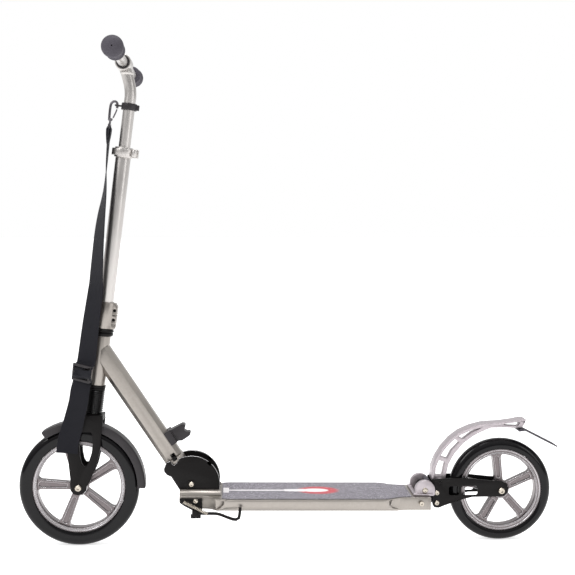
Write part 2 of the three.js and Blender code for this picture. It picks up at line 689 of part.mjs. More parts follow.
function frontGuard() {
  const shell = turned([
    [112, -18], [124, -18], [127, -15], [127, 15], [124, 18], [112, 18], [112, 16.2],
    [122.5, 16.2], [124, 14], [124, -14], [122.5, -16.2], [112, -16.2], [112, -18],
  ], [0, 0, FRONT_R], [0, 1, 0], 60);
  const sector = new THREE.Shape();
  const low = radians(-1.5);
  sector.moveTo(0, FRONT_R);
  sector.lineTo(170 * Math.cos(low), FRONT_R + 170 * Math.sin(low));
  sector.absarc(0, FRONT_R, 170, low, radians(123.4), false);
  return shell.intersect(plate(sector, -30, 30));
}

// ---- kickstand ----------------------------------------------------------
const KICK_X = 224;
const KICK_Z = 72.5;

function kickBracket() {
  const wing = outline([
    [193.5, 98], [236, 98], [236, 72], [233, 66], [217, 66], [217, 76.5], [203, 84], [194.5, 90],
  ]);
  const foot = block(214.5, 233.5, -50, -38, 60.5, 66.5);
  const pin = across(2.2, 204, 94, -58, -45, 12);
  const bore = across(3.05, KICK_X, KICK_Z, -70, -40, 16);
  return cut(join(plate(wing, -50, -43.5), foot, pin), bore);
}

function kickBolt() {
  return turned([[0, 50.3], [4.5, 50.3], [4.5, 53], [0, 53]], [224, 0, 94.5], [0, -1, 0], 12);
}

function kickLeg() {
  const hub = across(6.5, KICK_X, KICK_Z, -59.7, -50.4, 16);
  const axle = across(2.95, KICK_X, KICK_Z, -56, -42.5, 16);
  const leg = bentRod(3, [
    [KICK_X, -55.5, KICK_Z], [240, -56, 71.5], [266, -60, 71.5], [285, -68, 66.5], [299, -75, 64.2],
    [305, -77.5, 67], [307, -78, 76], [308, -78, 88],
  ], 16, 4);
  return join(hub, axle, leg);
}

function kickSpring() {
  return rod(3.4, [202.4, -64.3, 96.7], [246.5, -64.3, 72.5], 12);
}

// ---- rear end -----------------------------------------------------------
const EAR_R = 19.5;

function rearBracket() {
  const pieces = [onDeck(block(448, 455, -40, 40, GAP, 4.5))];
  for (const side of [-1, 1]) {
    const [y0, y1] = side > 0 ? [25.6, 36] : [-36, -25.6];
    const [w0, w1] = side > 0 ? [25.6, 42] : [-42, -25.6];
    pieces.push(across(EAR_R, REAR_PIVOT_X, REAR_PIVOT_Z, y0, y1, 36));
    pieces.push(onDeck(block(451.5, 490, y0, y1, GAP, 9)));
    pieces.push(onDeck(block(448, 487, w0, w1, GAP, 3.4)));
  }
  const bore = across(5.05, REAR_PIVOT_X, REAR_PIVOT_Z, -60, 60);
  const under = onDeck(block(420, 520, -60, 60, -40, GAP));
  return cut(join(...pieces), bore, under);
}

function armShape() {
  const shape = outline([
    [678, 123.5], [700, 125.2], [743, 126], [763, 123.7], [800, 119.6], [817, 118.8], [826, 114],
    [829.5, 105], [828, 96], [821, 89.8], [812, 88.6], [776, 88.8], [758.5, 88.6], [735.4, 83.2],
    [703.3, 72.1], [693, 68.2], [685, 68.8], [681, 74],
  ]);
  for (const [left, right] of [[712.5, 733], [737.5, 769]]) {
    shape.holes.push(new THREE.Path([
      [left, 95], [left + 2.5, 92.5], [right - 2.5, 92.5], [right, 95], [right, 107.5],
      [right - 2.5, 110], [left + 2.5, 110], [left, 107.5],
    ].map(([x, z]) => new THREE.Vector2(x, z))));
  }
  return shape;
}

const ARM_BOLTS = [97.7, 78.2];

function rearArm(side) {
  const [y0, y1] = side > 0 ? [19, 23] : [-23, -19];
  const body = plate(armShape(), y0, y1);
  const holes = [
    across(4.3, WHEELBASE, REAR_R, -40, 40, 20),
    across(3.3, BRAKE_PIN_X, BRAKE_PIN_Z, -40, 40, 16),
    ...ARM_BOLTS.map((z) => across(3.3, 689.3, z, -40, 40, 16)),
  ];
  return cut(body, ...holes);
}

function swingBlock() {
  const barrel = across(8, REAR_PIVOT_X, REAR_PIVOT_Z, -25.2, 25.2);
  const neck = plate(outline([
    [664, 113.2], [676, 110.3], [710, 110.3], [710, 86], [700, 73], [688, 71.5], [680, 78],
    [676, 84], [676, 98], [664, 97.6],
  ]), -18.6, 18.6);
  const holes = [
    across(5.05, REAR_PIVOT_X, REAR_PIVOT_Z, -40, 40),
    ...ARM_BOLTS.map((z) => across(3.3, 689.3, z, -40, 40, 16)),
  ];
  return cut(join(barrel, neck), ...holes);
}

function rearRubber() {
  return plate(outline([[668, 113], [678.5, 111], [678.5, 119], [673.5, 125], [668, 121]]), -18, 18);
}

const BRAKE_TOP = [
  [680.2, 121], [681.5, 145], [688.8, 163.8], [700.2, 182.3], [716.4, 200.6], [734.8, 214.5],
  [758, 224.7], [781.2, 230.4], [816.2, 232.5], [840, 235.5], [855, 238.4], [864, 238.8],
];

function brakeShape() {
  const shape = outline([
    ...BRAKE_TOP, [865.3, 231],
    [859.5, 221], [851.4, 219.3], [825.6, 221.3], [797.7, 220.8], [779, 213.2], [762.9, 205],
    [744.3, 191.3], [726, 170.6], [714.5, 149.7], [709.5, 126.3], [708, 119], [703, 113],
    [696, 111], [689, 113],
  ]);
  const gaps = [
    [[689, 128], [689.8, 143], [695.8, 158], [707.5, 154.5], [705.5, 148], [701.5, 128]],
    [[698.8, 166], [706.3, 177.8], [721.3, 194.5], [727, 199], [735.5, 193.2], [719, 176], [711.5, 161.5]],
    [[734, 204], [739, 207.5], [760, 216.8], [778, 221.2], [775, 219.3], [758.5, 212], [742.5, 199.5]],
    [[822, 228.3], [846, 232], [855, 230], [850, 224.5], [826, 225.8]],
  ];
  for (const gap of gaps) {
    shape.holes.push(new THREE.Path(gap.map(([x, z]) => new THREE.Vector2(x, z))));
  }
  return shape;
}

// The outer skin of the brake, a band of even thickness under its top line.
function brakeSkin(thick) {
  const inner = BRAKE_TOP.map(([x, z], i) => {
    const [x0, z0] = BRAKE_TOP[Math.max(i - 1, 0)];
    const [x1, z1] = BRAKE_TOP[Math.min(i + 1, BRAKE_TOP.length - 1)];
    const length = Math.hypot(x1 - x0, z1 - z0);
    return [x + thick * (z1 - z0) / length, z - thick * (x1 - x0) / length];
  });
  return outline([...BRAKE_TOP, ...inner.reverse()]);
}

function brake() {
  const web = plate(brakeShape(), -BRAKE_WEB_HALF, BRAKE_WEB_HALF);
  const skin = plate(brakeSkin(3.4), -17, 17);
  const barrel = across(6.8, BRAKE_PIN_X, BRAKE_PIN_Z, -17, 17);
  return cut(join(web, skin, barrel), across(3.05, BRAKE_PIN_X, BRAKE_PIN_Z, -40, 40, 24));
}

function brakePin() {
  return across(3, BRAKE_PIN_X, BRAKE_PIN_Z, -22.8, 22.8, 24);
}

function mudFlap() {
  return plate(outline([
    [850, 217.6], [862, 219.2], [926, 186.3], [924.8, 184], [862, 216.4], [850, 215],
  ]), -20, 20);
}

// ---- assembly -----------------------------------------------------------
add('deck', deck(), 'grey');
add('grip_tape', gripTape(), 'tape');
add('fold_base', foldBase(), 'grey');
add('fold_plate_left', quadrant(-1), 'black');
add('fold_plate_right', quadrant(1), 'black');
add('fold_pivot_bolt', crossBolt(FOLD_BOLT_R, 5.6, PIVOT_X, PIVOT_Z, PLATE_OUTER, 3), 'screw');
add('kick_bracket', kickBracket(), 'black');
add('kick_bracket_bolt', kickBolt(), 'screw');
add('rear_bracket', rearBracket(), 'cast');
add('rear_pivot_bolt', crossBolt(5, 5.4, REAR_PIVOT_X, REAR_PIVOT_Z, 36, 2), 'screw');

add('head_tube', headTube(), 'grey');
add('down_tube', downTube(), 'grey');
add('hinge_block', hingeBlock(), 'grey');
add('upper_headset_cup', upperCup(), 'black');
add('lower_headset_cup', lowerCup(), 'black');
add('lock_pin', lockPin(), 'black');
add('release_handle', releaseHandle(), 'plastic');

add('steerer_tube', steerer(), 'black');
add('pinch_clamp', pinchClamp(), 'silver');
add('pinch_screw_lower', pinchScrew(CLAMP_SCREWS[0]), 'screw');
add('pinch_screw_upper', pinchScrew(CLAMP_SCREWS[1]), 'screw');
add('lower_stem_tube', lowerStem(), 'silver');
add('quick_collar', quickCollar(), 'silver');
add('quick_skewer', quickSkewer(), 'screw');
add('quick_lever', quickLever(), 'silver');
add('strap_buckle', strapBuckle(), 'plastic');

add('upper_stem_tube', upperStem(), 'silver');
add('strap_ring', strapRing(), 'plastic');
add('snap_hook', snapHook(), 'screw');
add('hook_gate', hookGate(), 'screw');
add('strap_upper', strapUpper(), 'webbing');
add('bar_tube_left', barTube(-1), 'silver');
add('grip_left', grip(-1), 'rubber');
add('bar_tube_right', barTube(1), 'silver');
add('grip_right', grip(1), 'rubber');

add('fork', fork(), 'black');
add('fork_gaiter', forkGaiter(), 'rubber');
add('front_mudguard', frontGuard(), 'plastic');
add('front_axle_bolt', crossBolt(4, 6.6, 0, FRONT_R, LEG_OUTER, 3.5), 'screw');
add('strap_lower', strapLower(), 'webbing');
wheelSet('front', 0, FRONT_R, FRONT_R, 88, 79.5, 32.5);

add('arm_left', rearArm(-1), 'black');
add('arm_right', rearArm(1), 'black');
add('swing_block', swingBlock(), 'cast');
add('rear_rubber', rearRubber(), 'rubber');
add('arm_bolt_upper', crossBolt(3, 5, 689.3, ARM_BOLTS[0], 23, 2.5), 'screw');
add('arm_bolt_lower', crossBolt(3, 5, 689.3, ARM_BOLTS[1], 23, 2.5), 'screw');
add('rear_axle_bolt', crossBolt(4, 6.6, WHEELBASE, REAR_R, 23, 3.5), 'screw');
wheelSet('rear', WHEELBASE, REAR_R, REAR_R, 79.8, 69, 24);
add('brake', brake(), 'cast');
add('brake_pin', brakePin(), 'black');
add('mud_flap', mudFlap(), 'rubber');

add('kick_leg', kickLeg(), 'black');
add('kick_spring', kickSpring(), 'screw');

// ---- origin at the middle of the footprint, on the ground ---------------
const extent = new THREE.Box3().setFromObject(scooter);
const centre = extent.getCenter(new THREE.Vector3());
for (const mesh of scooter.children) {
  mesh.geometry.translate(-centre.x, -centre.y, -extent.min.z);
}

export default scooter;
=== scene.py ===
"""Adult kick scooter with big wheels: its finished pieces and its stage, around the CAD frame."""

import json
import math

import bmesh
import bpy
from mathutils import Matrix, Vector

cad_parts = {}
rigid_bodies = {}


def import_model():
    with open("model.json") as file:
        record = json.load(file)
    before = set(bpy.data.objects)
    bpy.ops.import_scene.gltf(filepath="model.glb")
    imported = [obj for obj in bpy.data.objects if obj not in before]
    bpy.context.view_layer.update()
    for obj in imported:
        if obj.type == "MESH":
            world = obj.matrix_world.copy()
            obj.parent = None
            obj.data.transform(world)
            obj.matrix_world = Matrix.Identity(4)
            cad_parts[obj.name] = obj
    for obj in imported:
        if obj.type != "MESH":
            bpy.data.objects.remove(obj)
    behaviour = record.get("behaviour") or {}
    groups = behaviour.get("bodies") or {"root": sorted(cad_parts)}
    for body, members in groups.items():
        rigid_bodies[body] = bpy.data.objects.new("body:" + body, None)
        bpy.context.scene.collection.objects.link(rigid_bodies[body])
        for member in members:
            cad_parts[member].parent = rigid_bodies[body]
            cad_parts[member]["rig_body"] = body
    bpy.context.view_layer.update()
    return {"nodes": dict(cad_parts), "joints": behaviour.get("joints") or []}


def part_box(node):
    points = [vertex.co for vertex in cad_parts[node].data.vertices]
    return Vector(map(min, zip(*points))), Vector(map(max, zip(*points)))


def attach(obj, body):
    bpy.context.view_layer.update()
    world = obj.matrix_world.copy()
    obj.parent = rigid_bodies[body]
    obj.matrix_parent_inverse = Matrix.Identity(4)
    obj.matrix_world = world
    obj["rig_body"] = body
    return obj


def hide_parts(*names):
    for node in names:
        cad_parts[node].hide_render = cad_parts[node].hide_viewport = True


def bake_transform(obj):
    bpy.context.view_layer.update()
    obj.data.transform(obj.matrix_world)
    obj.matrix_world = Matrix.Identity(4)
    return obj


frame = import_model()

bl_info = {
    "name": "Kick Scooter",
    "version": (1, 0, 0),
    "blender": (4, 5, 0),
    "location": "View3D > Sidebar > Scooter",
    "description": "Makes the finished pieces of a folding kick scooter around its CAD frame",
    "category": "Add Mesh",
}

MM = 0.001
WORLD_DARK = 0.1
WORLD_BRIGHT = 0.85
FLOOR_GLOW = 0.62
FLOOR_HALF = 40
LIGHT_AIM = Vector((0, 0, 0.4))
SPOKES = 5
SLANT_LOW, SLANT_HIGH = 0.5, 0.93  # how far across a face of the rim leans, where it is polished
GAITER_LOW, GAITER_HIGH = 142.9, 188.2  # millimetres up the steering axis
BAR_AHEAD, BAR_HEIGHT = 19.0, 809.0  # the bar's axis, in millimetres on the steering axis
THREAD_PITCH, RIB_PITCH = 0.0017, 0.0024
JOINTS = {joint["name"]: joint for joint in frame["joints"]}


# ---- places -------------------------------------------------------------
def middle(node):
    """The middle of a CAD node's box."""
    low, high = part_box(node)
    return (low + high) / 2


def column_frame():
    """Built upright on the axle line, laid over onto the steering axis."""
    joint = JOINTS["steering"]
    lean = math.atan2(joint["axis"][0], joint["axis"][2])
    return Matrix.Translation(joint["pos_m"]) @ Matrix.Rotation(lean, 4, "Y")


COLUMN = column_frame()
LEAN = math.atan2(JOINTS["steering"]["axis"][0], JOINTS["steering"]["axis"][2])
FRONT_AXLE = middle("front_axle_bolt")
REAR_AXLE = middle("rear_axle_bolt")
DECK_TILT = math.radians(0.73)
DECK_LOW, DECK_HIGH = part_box("deck")
DECK = Matrix.Translation((DECK_LOW.x + 0.3 * MM, 0, DECK_HIGH.z)) @ Matrix.Rotation(DECK_TILT, 4, "Y")
ALONG_Y = Matrix.Rotation(-math.pi / 2, 4, "X")
UPRIGHT_PLATE = Matrix.Rotation(math.pi / 2, 4, "X")


def linear(value):
    value /= 255
    return value / 12.92 if value <= 0.04045 else ((value + 0.055) / 1.055) ** 2.4


def colour(red, green, blue):
    """A colour as it looks, turned into the light values that shaders use."""
    return (linear(red), linear(green), linear(blue))


# ---- the sizes and colours a user would change --------------------------
def colour_choice(name, description, looks):
    return bpy.props.FloatVectorProperty(
        name=name, description=description, default=colour(*looks), size=3, subtype="COLOR", min=0, max=1
    )


def length_choice(name, description, default, low, high):
    return bpy.props.FloatProperty(
        name=name, description=description, default=default, min=low, max=high, unit="LENGTH", precision=4
    )


class ScooterSizes(bpy.types.PropertyGroup):
    """Sizes of the finished pieces."""

    sides: bpy.props.IntProperty(
        name="Round sides", description="Faces around a tube", default=64, min=12, max=256
    )
    wheel_sides: bpy.props.IntProperty(
        name="Wheel sides", description="Faces around a tyre", default=144, min=24, max=512
    )
    strap_width: length_choice("Strap width", "Width of the webbing", 40 * MM, 0.01, 0.06)
    strap_thick: length_choice("Strap thickness", "Thickness of the webbing", 1.8 * MM, 0.0005, 0.005)
    spring_turns: bpy.props.IntProperty(
        name="Spring turns", description="Turns of the kickstand spring", default=22, min=5, max=60
    )
    gaiter_folds: bpy.props.IntProperty(
        name="Gaiter folds", description="Ribs of the fork gaiter", default=12, min=4, max=30
    )


class ScooterColours(bpy.types.PropertyGroup):
    """Colours of the finishes."""

    satin_silver: colour_choice("Satin silver", "Stem tubes and handlebar", (196, 192, 189))
    satin_grey: colour_choice("Satin grey", "Frame tubes and deck", (160, 154, 148))
    cast_alloy: colour_choice("Cast alloy", "Brake and rear bracket", (186, 178, 182))
    wheel_alloy: colour_choice("Wheel alloy", "Rims and spokes", (116, 109, 110))
    black_metal: colour_choice("Black metal", "Fork, plates and rear arms", (19, 17, 17))
    black_plastic: colour_choice("Black plastic", "Mudguard and buckle", (44, 41, 43))
    grip_rubber: colour_choice("Grip rubber", "Grips, gaiter and flap", (70, 67, 74))
    tyre: colour_choice("Tyre", "Cast tyres", (13, 12, 14))
    grip_tape: colour_choice("Grip tape", "Deck surface", (132, 128, 136))
    webbing: colour_choice("Webbing", "Carry strap", (30, 30, 35))
    bright_steel: colour_choice("Bright steel", "Bolts, hook and spring", (186, 178, 166))
    emblem: colour_choice("Emblem", "Oval on the deck", (214, 38, 44))
    floor: colour_choice("Floor", "The stage", (246, 246, 246))


def sizes():
    return bpy.context.scene.scooter_sizes


def colours():
    return bpy.context.scene.scooter_colours


# ---- materials ----------------------------------------------------------
class Recipe:
    """One node material, built step by step."""

    def __init__(self, name):
        self.material = bpy.data.materials.new(name)
        self.material.use_nodes = True
        self.nodes = self.material.node_tree.nodes
        self.links = self.material.node_tree.links
        self.shader = self.nodes["Principled BSDF"]

    def add(self, kind, inputs=None, **settings):
        node = self.nodes.new(kind)
        for key, value in settings.items():
            setattr(node, key, value)
        for key, value in (inputs or {}).items():
            self.put(node.inputs[key], value)
        return node

    def put(self, socket, value):
        if isinstance(value, bpy.types.NodeSocket):
            self.links.new(value, socket)
        else:
            socket.default_value = value

    def set(self, **values):
        for key, value in values.items():
            self.put(self.shader.inputs[key.replace("_", " ")], value)

    def place(self, scale=(1, 1, 1), turn=(0, 0, 0), source="Object"):
        coordinates = self.add("ShaderNodeTexCoord").outputs[source]
        mapping = self.add("ShaderNodeMapping", {0: coordinates, 2: turn, 3: scale})
        return mapping.outputs[0]

    def noise(self, where, scale, detail=3.0, roughness=0.55):
        inputs = {"Vector": where, "Scale": scale, "Detail": detail, "Roughness": roughness}
        return self.add("ShaderNodeTexNoise", inputs).outputs[0]

    def math(self, operation, *values):
        inputs = dict(enumerate(values))
        return self.add("ShaderNodeMath", inputs, operation=operation).outputs[0]

    def span(self, value, low, high, start=0.3, end=0.7):
        """A value between start and end, spread between low and high."""
        inputs = {"Value": value, "From Min": start, "From Max": end, "To Min": low, "To Max": high}
        return self.add("ShaderNodeMapRange", inputs).outputs[0]

    def mix(self, share, first, second, blend="MIX"):
        node = self.add("ShaderNodeMix", {0: share, 6: first, 7: second}, data_type="RGBA", blend_type=blend)
        return node.outputs[2]

    def bump(self, height, strength, distance, normal=None):
        inputs = {"Strength": strength, "Distance": distance, "Height": height}
        if normal is not None:
            inputs["Normal"] = normal
        return self.add("ShaderNodeBump", inputs).outputs[0]


def rgba(value, gain=1.0):
    return tuple(min(1.0, part * gain) for part in value) + (1.0,)


def metal(name, tone, rough, metallic, grain, grain_turn, grain_bump, patch, shine=0.5):
    """Metal with a fine grain that runs one way, soft handling marks and a slight change of tone."""
    made = Recipe(name)
    lines = made.noise(made.place(scale=grain, turn=(0, grain_turn, 0)), 1.0, 4.0)
    cloud = made.noise(made.place(), 14.0, 3.0)
    specks = made.noise(made.place(), 1900.0, 1.0)
    toned = made.mix(made.span(cloud, 0, 1), rgba(tone, 0.93), rgba(tone, 1.05))
    toned = made.mix(made.span(lines, 0, 1), toned, made.mix(0.5, toned, rgba(tone, 0.86)))
    worn = made.math("ADD", made.span(cloud, rough - patch, rough + patch), made.span(lines, -0.03, 0.03))
    relief = made.math("ADD", made.math("MULTIPLY", specks, 0.35), lines)
    made.set(Base_Color=toned, Metallic=metallic, Roughness=worn, Specular_IOR_Level=shine)
    made.set(Normal=made.bump(relief, grain_bump, 0.0004))
    return made.material


def moulded(name, tone, rough, pebble, depth, specular):
    """Moulded plastic or rubber with a fine pebbled skin and dusty patches."""
    made = Recipe(name)
    skin = made.add("ShaderNodeTexVoronoi", {"Vector": made.place(), "Scale": pebble}).outputs["Distance"]
    cloud = made.noise(made.place(), 22.0, 5.0)
    toned = made.mix(made.span(cloud, 0, 1), rgba(tone, 0.85), rgba(tone, 1.15))
    made.set(Base_Color=toned, Roughness=made.span(cloud, rough - 0.06, rough + 0.08))
    made.set(Specular_IOR_Level=specular, Normal=made.bump(skin, depth, 0.0003))
    return made.material


def cast_tyre(name, tone):
    """Glossy cast tyre, dull in patches, with faint dust in patches."""
    made = Recipe(name)
    cloud = made.noise(made.place(), 30.0, 6.0, 0.65)
    fine = made.noise(made.place(), 260.0, 3.0)
    toned = made.mix(made.span(cloud, 0, 1, 0.45, 0.8), rgba(tone, 0.9), rgba(tone, 1.5))
    rough = made.math("ADD", made.span(cloud, 0.1, 0.2, 0.4, 0.75), made.span(fine, -0.02, 0.03))
    made.set(Base_Color=toned, Roughness=rough, Specular_IOR_Level=0.22)
    made.set(Normal=made.bump(fine, 0.02, 0.0005))
    return made.material


def sanded_tape(name, tone, emblem):
    """Gritty deck tape: glassy grains, some lightened towards white as a painted glint, and a plain oval with
    a long pointed tail printed along the middle.
    """
    made = Recipe(name)
    where = made.place()
    grit = made.add("ShaderNodeTexVoronoi", {"Vector": where, "Scale": 1100.0}).outputs["Color"]
    grain = made.add("ShaderNodeSeparateColor", {0: grit}).outputs[0]
    coarse = made.noise(where, 420.0, 2.0)
    cloud = made.noise(where, 9.0, 4.0)
    toned = made.mix(made.span(coarse, 0, 1, 0.35, 0.65), rgba(tone, 0.55), rgba(tone, 1.25))
    toned = made.mix(made.span(cloud, 0, 0.35), toned, rgba(tone, 0.8))
    # Sparse grains are glossier, and their colour is lightened towards white as a painted glint.
    gloss_and_painted_glint = made.math("GREATER_THAN", grain, 0.9)
    toned = made.mix(made.math("MULTIPLY", gloss_and_painted_glint, 0.55), toned, (0.85, 0.84, 0.9, 1))
    red, white = emblem_masks(made, where)
    toned = made.mix(red, toned, made.mix(0.25, rgba(emblem, 1.1), toned))
    toned = made.mix(white, toned, made.mix(0.12, (0.9, 0.87, 0.88, 1), toned))
    rough = made.math("SUBTRACT", 0.86, made.math("MULTIPLY", gloss_and_painted_glint, 0.45))
    made.set(Base_Color=toned, Roughness=rough, Specular_IOR_Level=0.6)
    made.set(Normal=made.bump(made.math("ADD", grain, coarse), 0.55, 0.0004))
    return made.material


def emblem_masks(made, where):
    """Shares of red and of white: an oval inside an oval, its tail, a stripe and a small cross."""
    tape_low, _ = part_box("grip_tape")
    parts = made.add("ShaderNodeSeparateXYZ", {0: where})
    along = made.math("SUBTRACT", parts.outputs[0], tape_low.x)
    side = made.math("ABSOLUTE", parts.outputs[1])

    def oval(centre, half_long, half_wide, soft=0.12):
        u = made.math("DIVIDE", made.math("SUBTRACT", along, centre * MM), half_long * MM)
        v = made.math("DIVIDE", side, half_wide * MM)
        reach = made.math("ADD", made.math("POWER", u, 2.0), made.math("POWER", v, 2.0))
        return made.span(reach, 1, 0, 1 - soft, 1 + soft)

    def strip(start, end, wide_start, wide_end):
        width = made.add("ShaderNodeMapRange", {
            "Value": along, "From Min": start * MM, "From Max": end * MM,
            "To Min": wide_start * MM, "To Max": wide_end * MM,
        }).outputs[0]
        inside = made.math("LESS_THAN", side, width)
        after = made.math("GREATER_THAN", along, start * MM)
        before = made.math("LESS_THAN", along, end * MM)
        return made.math("MULTIPLY", inside, made.math("MULTIPLY", after, before))

    speckle = made.noise(where, 700.0, 2.0)
    red = made.math("MULTIPLY", oval(186, 38, 30, 0.3), made.span(speckle, 0.35, 1, 0.35, 0.55))
    white = made.math("MAXIMUM", oval(180, 26, 14), strip(120, 160, 8, 11))
    white = made.math("MAXIMUM", white, strip(12, 122, 4.0, 4.5))
    white = made.math("MAXIMUM", white, strip(2, 13, 20, 20))
    return red, white


def woven(name, tone):
    """Ribbed webbing: rows of crossed threads on the strap's own map, darker in the weave's dips and lighter
    on its ridges as painted shade and painted highlight, with a bound edge.
    """
    made = Recipe(name)
    parts = made.add("ShaderNodeSeparateXYZ", {0: made.place(source="UV")})
    across, along = parts.outputs[0], parts.outputs[1]
    rows = made.math("SINE", made.math("MULTIPLY", along, 2 * math.pi / THREAD_PITCH))
    ribs = made.math("SINE", made.math("MULTIPLY", across, 2 * math.pi / RIB_PITCH))
    weave_relief_and_shade = made.math("MULTIPLY", rows, made.math("ADD", ribs, 0.35))
    fuzz = made.noise(made.place(), 900.0, 3.0)
    cloud = made.noise(made.place(), 25.0, 3.0)
    # The colour follows the weave's relief: painted shade in the dips between threads, painted highlight on
    # the ridges.
    toned = made.mix(made.span(weave_relief_and_shade, 0, 1, -1.0, 1.0), rgba(tone, 0.55), rgba(tone, 1.35))
    toned = made.mix(made.span(cloud, 0, 0.4), toned, rgba(tone, 0.8))
    relief = made.math("ADD", weave_relief_and_shade, made.math("MULTIPLY", fuzz, 0.8))
    made.set(Base_Color=toned, Roughness=0.85, Sheen_Weight=0.08, Sheen_Roughness=0.5, Specular_IOR_Level=0.1)
    made.set(Normal=made.bump(relief, 0.5, 0.0003))
    return made.material


def finish(slot):
    """The material of one of the record's slots, made the first time it is asked for."""
    if slot in bpy.data.materials and bpy.data.materials[slot].get("finished"):
        return bpy.data.materials[slot]
    tones = colours()
    tone = tuple(getattr(tones, slot)) if hasattr(tones, slot) else None
    made = {
        "satin_silver": lambda n: metal(n, tone, 0.34, 0.95, (900, 900, 14), LEAN, 0.03, 0.04),
        "satin_grey": lambda n: metal(n, tone, 0.36, 0.92, (260, 260, 260), 0, 0.05, 0.05),
        "cast_alloy": lambda n: metal(n, tone, 0.4, 0.8, (240, 240, 240), 0, 0.12, 0.06),
        "wheel_alloy": lambda n: metal(n, tone, 0.3, 0.9, (300, 300, 300), 0, 0.05, 0.05),
        "black_metal": lambda n: metal(n, tone, 0.42, 0.0, (700, 700, 700), 0, 0.16, 0.06, shine=0.14),
        "bright_steel": lambda n: metal(n, tone, 0.2, 1.0, (500, 500, 500), 0, 0.04, 0.05),
        "black_plastic": lambda n: moulded(n, tone, 0.42, 1500, 0.16, 0.3),
        "grip_rubber": lambda n: moulded(n, tone, 0.6, 1100, 0.3, 0.25),
        "gloss_rubber": lambda n: moulded(n, colour(16, 15, 16), 0.22, 900, 0.08, 0.4),
        "tyre": lambda n: cast_tyre(n, tone),
        "grip_tape": lambda n: sanded_tape(n, tone, tuple(tones.emblem)),
        "webbing": lambda n: woven(n, tone),
        "hook_metal": lambda n: metal(n, colour(104, 101, 105), 0.26, 1.0, (500, 500, 500), 0, 0.04, 0.05),
        "edge_metal": lambda n: metal(n, colour(206, 204, 206), 0.28, 0.9, (400, 400, 400), 0, 0.05, 0.05),
    }[slot](slot + "_look")
    made.name = slot
    made["finished"] = True
    return made


# ---- mesh helpers -------------------------------------------------------
def piece(name, mesh, body, slot, replaces=()):
    """A finished piece: its mesh in place, its material, its body, and what it stands for."""
    obj = bpy.data.objects.new(name, mesh)
    bpy.context.scene.collection.objects.link(obj)
    if not mesh.materials:
        mesh.materials.append(finish(slot))
    mesh.shade_smooth()
    if body:
        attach(obj, body)
    if replaces:
        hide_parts(*replaces)
    return obj


def mesh_of(bm, name, turn=Matrix.Identity(4), sharp=38, recalculate=True):
    """Closes a bmesh into a mesh, in place, with crisp edges past an angle."""
    bmesh.ops.remove_doubles(bm, verts=bm.verts, dist=1e-6)
    if recalculate:
        bmesh.ops.recalc_face_normals(bm, faces=bm.faces)
    bmesh.ops.transform(bm, matrix=turn, verts=bm.verts)
    mesh = bpy.data.meshes.new(name)
    bm.to_mesh(mesh)
    bm.free()
    mesh.shade_smooth()
    mesh.set_sharp_from_angle(angle=math.radians(sharp))
    return mesh


def rounded(points, radius, steps=4, closed=False):
    """A run of points with each corner turned into a small arc. A point's third number is its own radius."""
    count = len(points)
    result = []
    for i, point in enumerate(points):
        here = Vector(point[:2])
        if not closed and i in (0, count - 1):
            result.append(here)
            continue
        before = Vector(points[i - 1][:2])
        after = Vector(points[(i + 1) % count][:2])
        own = point[2] if len(point) > 2 else radius
        reach = min(own, 0.48 * (before - here).length, 0.48 * (after - here).length)
        if reach < 1e-6:
            result.append(here)
            continue
        start = here + (before - here).normalized() * reach
        end = here + (after - here).normalized() * reach
        for k in range(steps + 1):
            t = k / steps
            result.append(start * (1 - t) ** 2 + here * 2 * t * (1 - t) + end * t * t)
    return result


def turned(profile, sides, turn, name, hexed=(), sharp=38):
    """A round body from (radius, height) points in millimetres. Points in hexed make a six-sided socket."""
    bm = bmesh.new()
    rings = []
    for number, (radius, height) in enumerate(profile):
        if radius < 1e-6:
            rings.append([bm.verts.new((0, 0, height * MM))])
            continue
        ring = []
        for k in range(sides):
            angle = 2 * math.pi * k / sides
            reach = radius
            if number in hexed:
                within = (angle % (math.pi / 3)) - math.pi / 6
                reach = radius * math.cos(math.pi / 6) / math.cos(within)
            corner = (reach * math.cos(angle) * MM, reach * math.sin(angle) * MM, height * MM)
            ring.append(bm.verts.new(corner))
        rings.append(ring)
    for low, high in zip(rings, rings[1:]):
        for k in range(sides):
            corners = [low[k % len(low)], low[(k + 1) % sides % len(low)]]
            corners += [high[(k + 1) % sides % len(high)], high[k % len(high)]]
            corners = list(dict.fromkeys(corners))
            if len(corners) > 2:
                bm.faces.new(corners)
    return mesh_of(bm, name, turn, sharp)


def loop_profile(points, radius=0.5, steps=3):
    """A closed profile whose corners are rounded, ready to be turned."""
    ring = rounded(points, radius, steps, closed=True)
    return ring + [ring[0]]


def plate_mesh(outlines, half, edge, name, turn=Matrix.Identity(4), steps=3):
    """A flat plate from an outline and its windows, in millimetres, with rounded edges, in the XY plane."""
    curve = bpy.data.curves.new(name, "CURVE")
    curve.dimensions = "2D"
    curve.fill_mode = "BOTH"
    curve.extrude = (half - edge) * MM
    curve.bevel_depth = edge * MM
    curve.bevel_resolution = steps
    curve.offset = -edge * MM
    for line in outlines:
        spline = curve.splines.new("POLY")
        spline.points.add(len(line) - 1)
        for k, point in enumerate(line):
            spline.points[k].co = (point[0] * MM, point[1] * MM, 0, 1)
        spline.use_cyclic_u = True
    holder = bpy.data.objects.new(name, curve)
    bpy.context.scene.collection.objects.link(holder)
    graph = bpy.context.evaluated_depsgraph_get()
    raw = bpy.data.meshes.new_from_object(holder.evaluated_get(graph))
    bpy.data.objects.remove(holder)
    bm = bmesh.new()
    bm.from_mesh(raw)
    bpy.data.meshes.remove(raw)
    return mesh_of(bm, name, turn)


def joined(meshes, name, sharp=38):
    """Several closed meshes as one."""
    bm = bmesh.new()
    for mesh in meshes:
        bm.from_mesh(mesh)
        bpy.data.meshes.remove(mesh)
    return mesh_of(bm, name, sharp=sharp, recalculate=False)


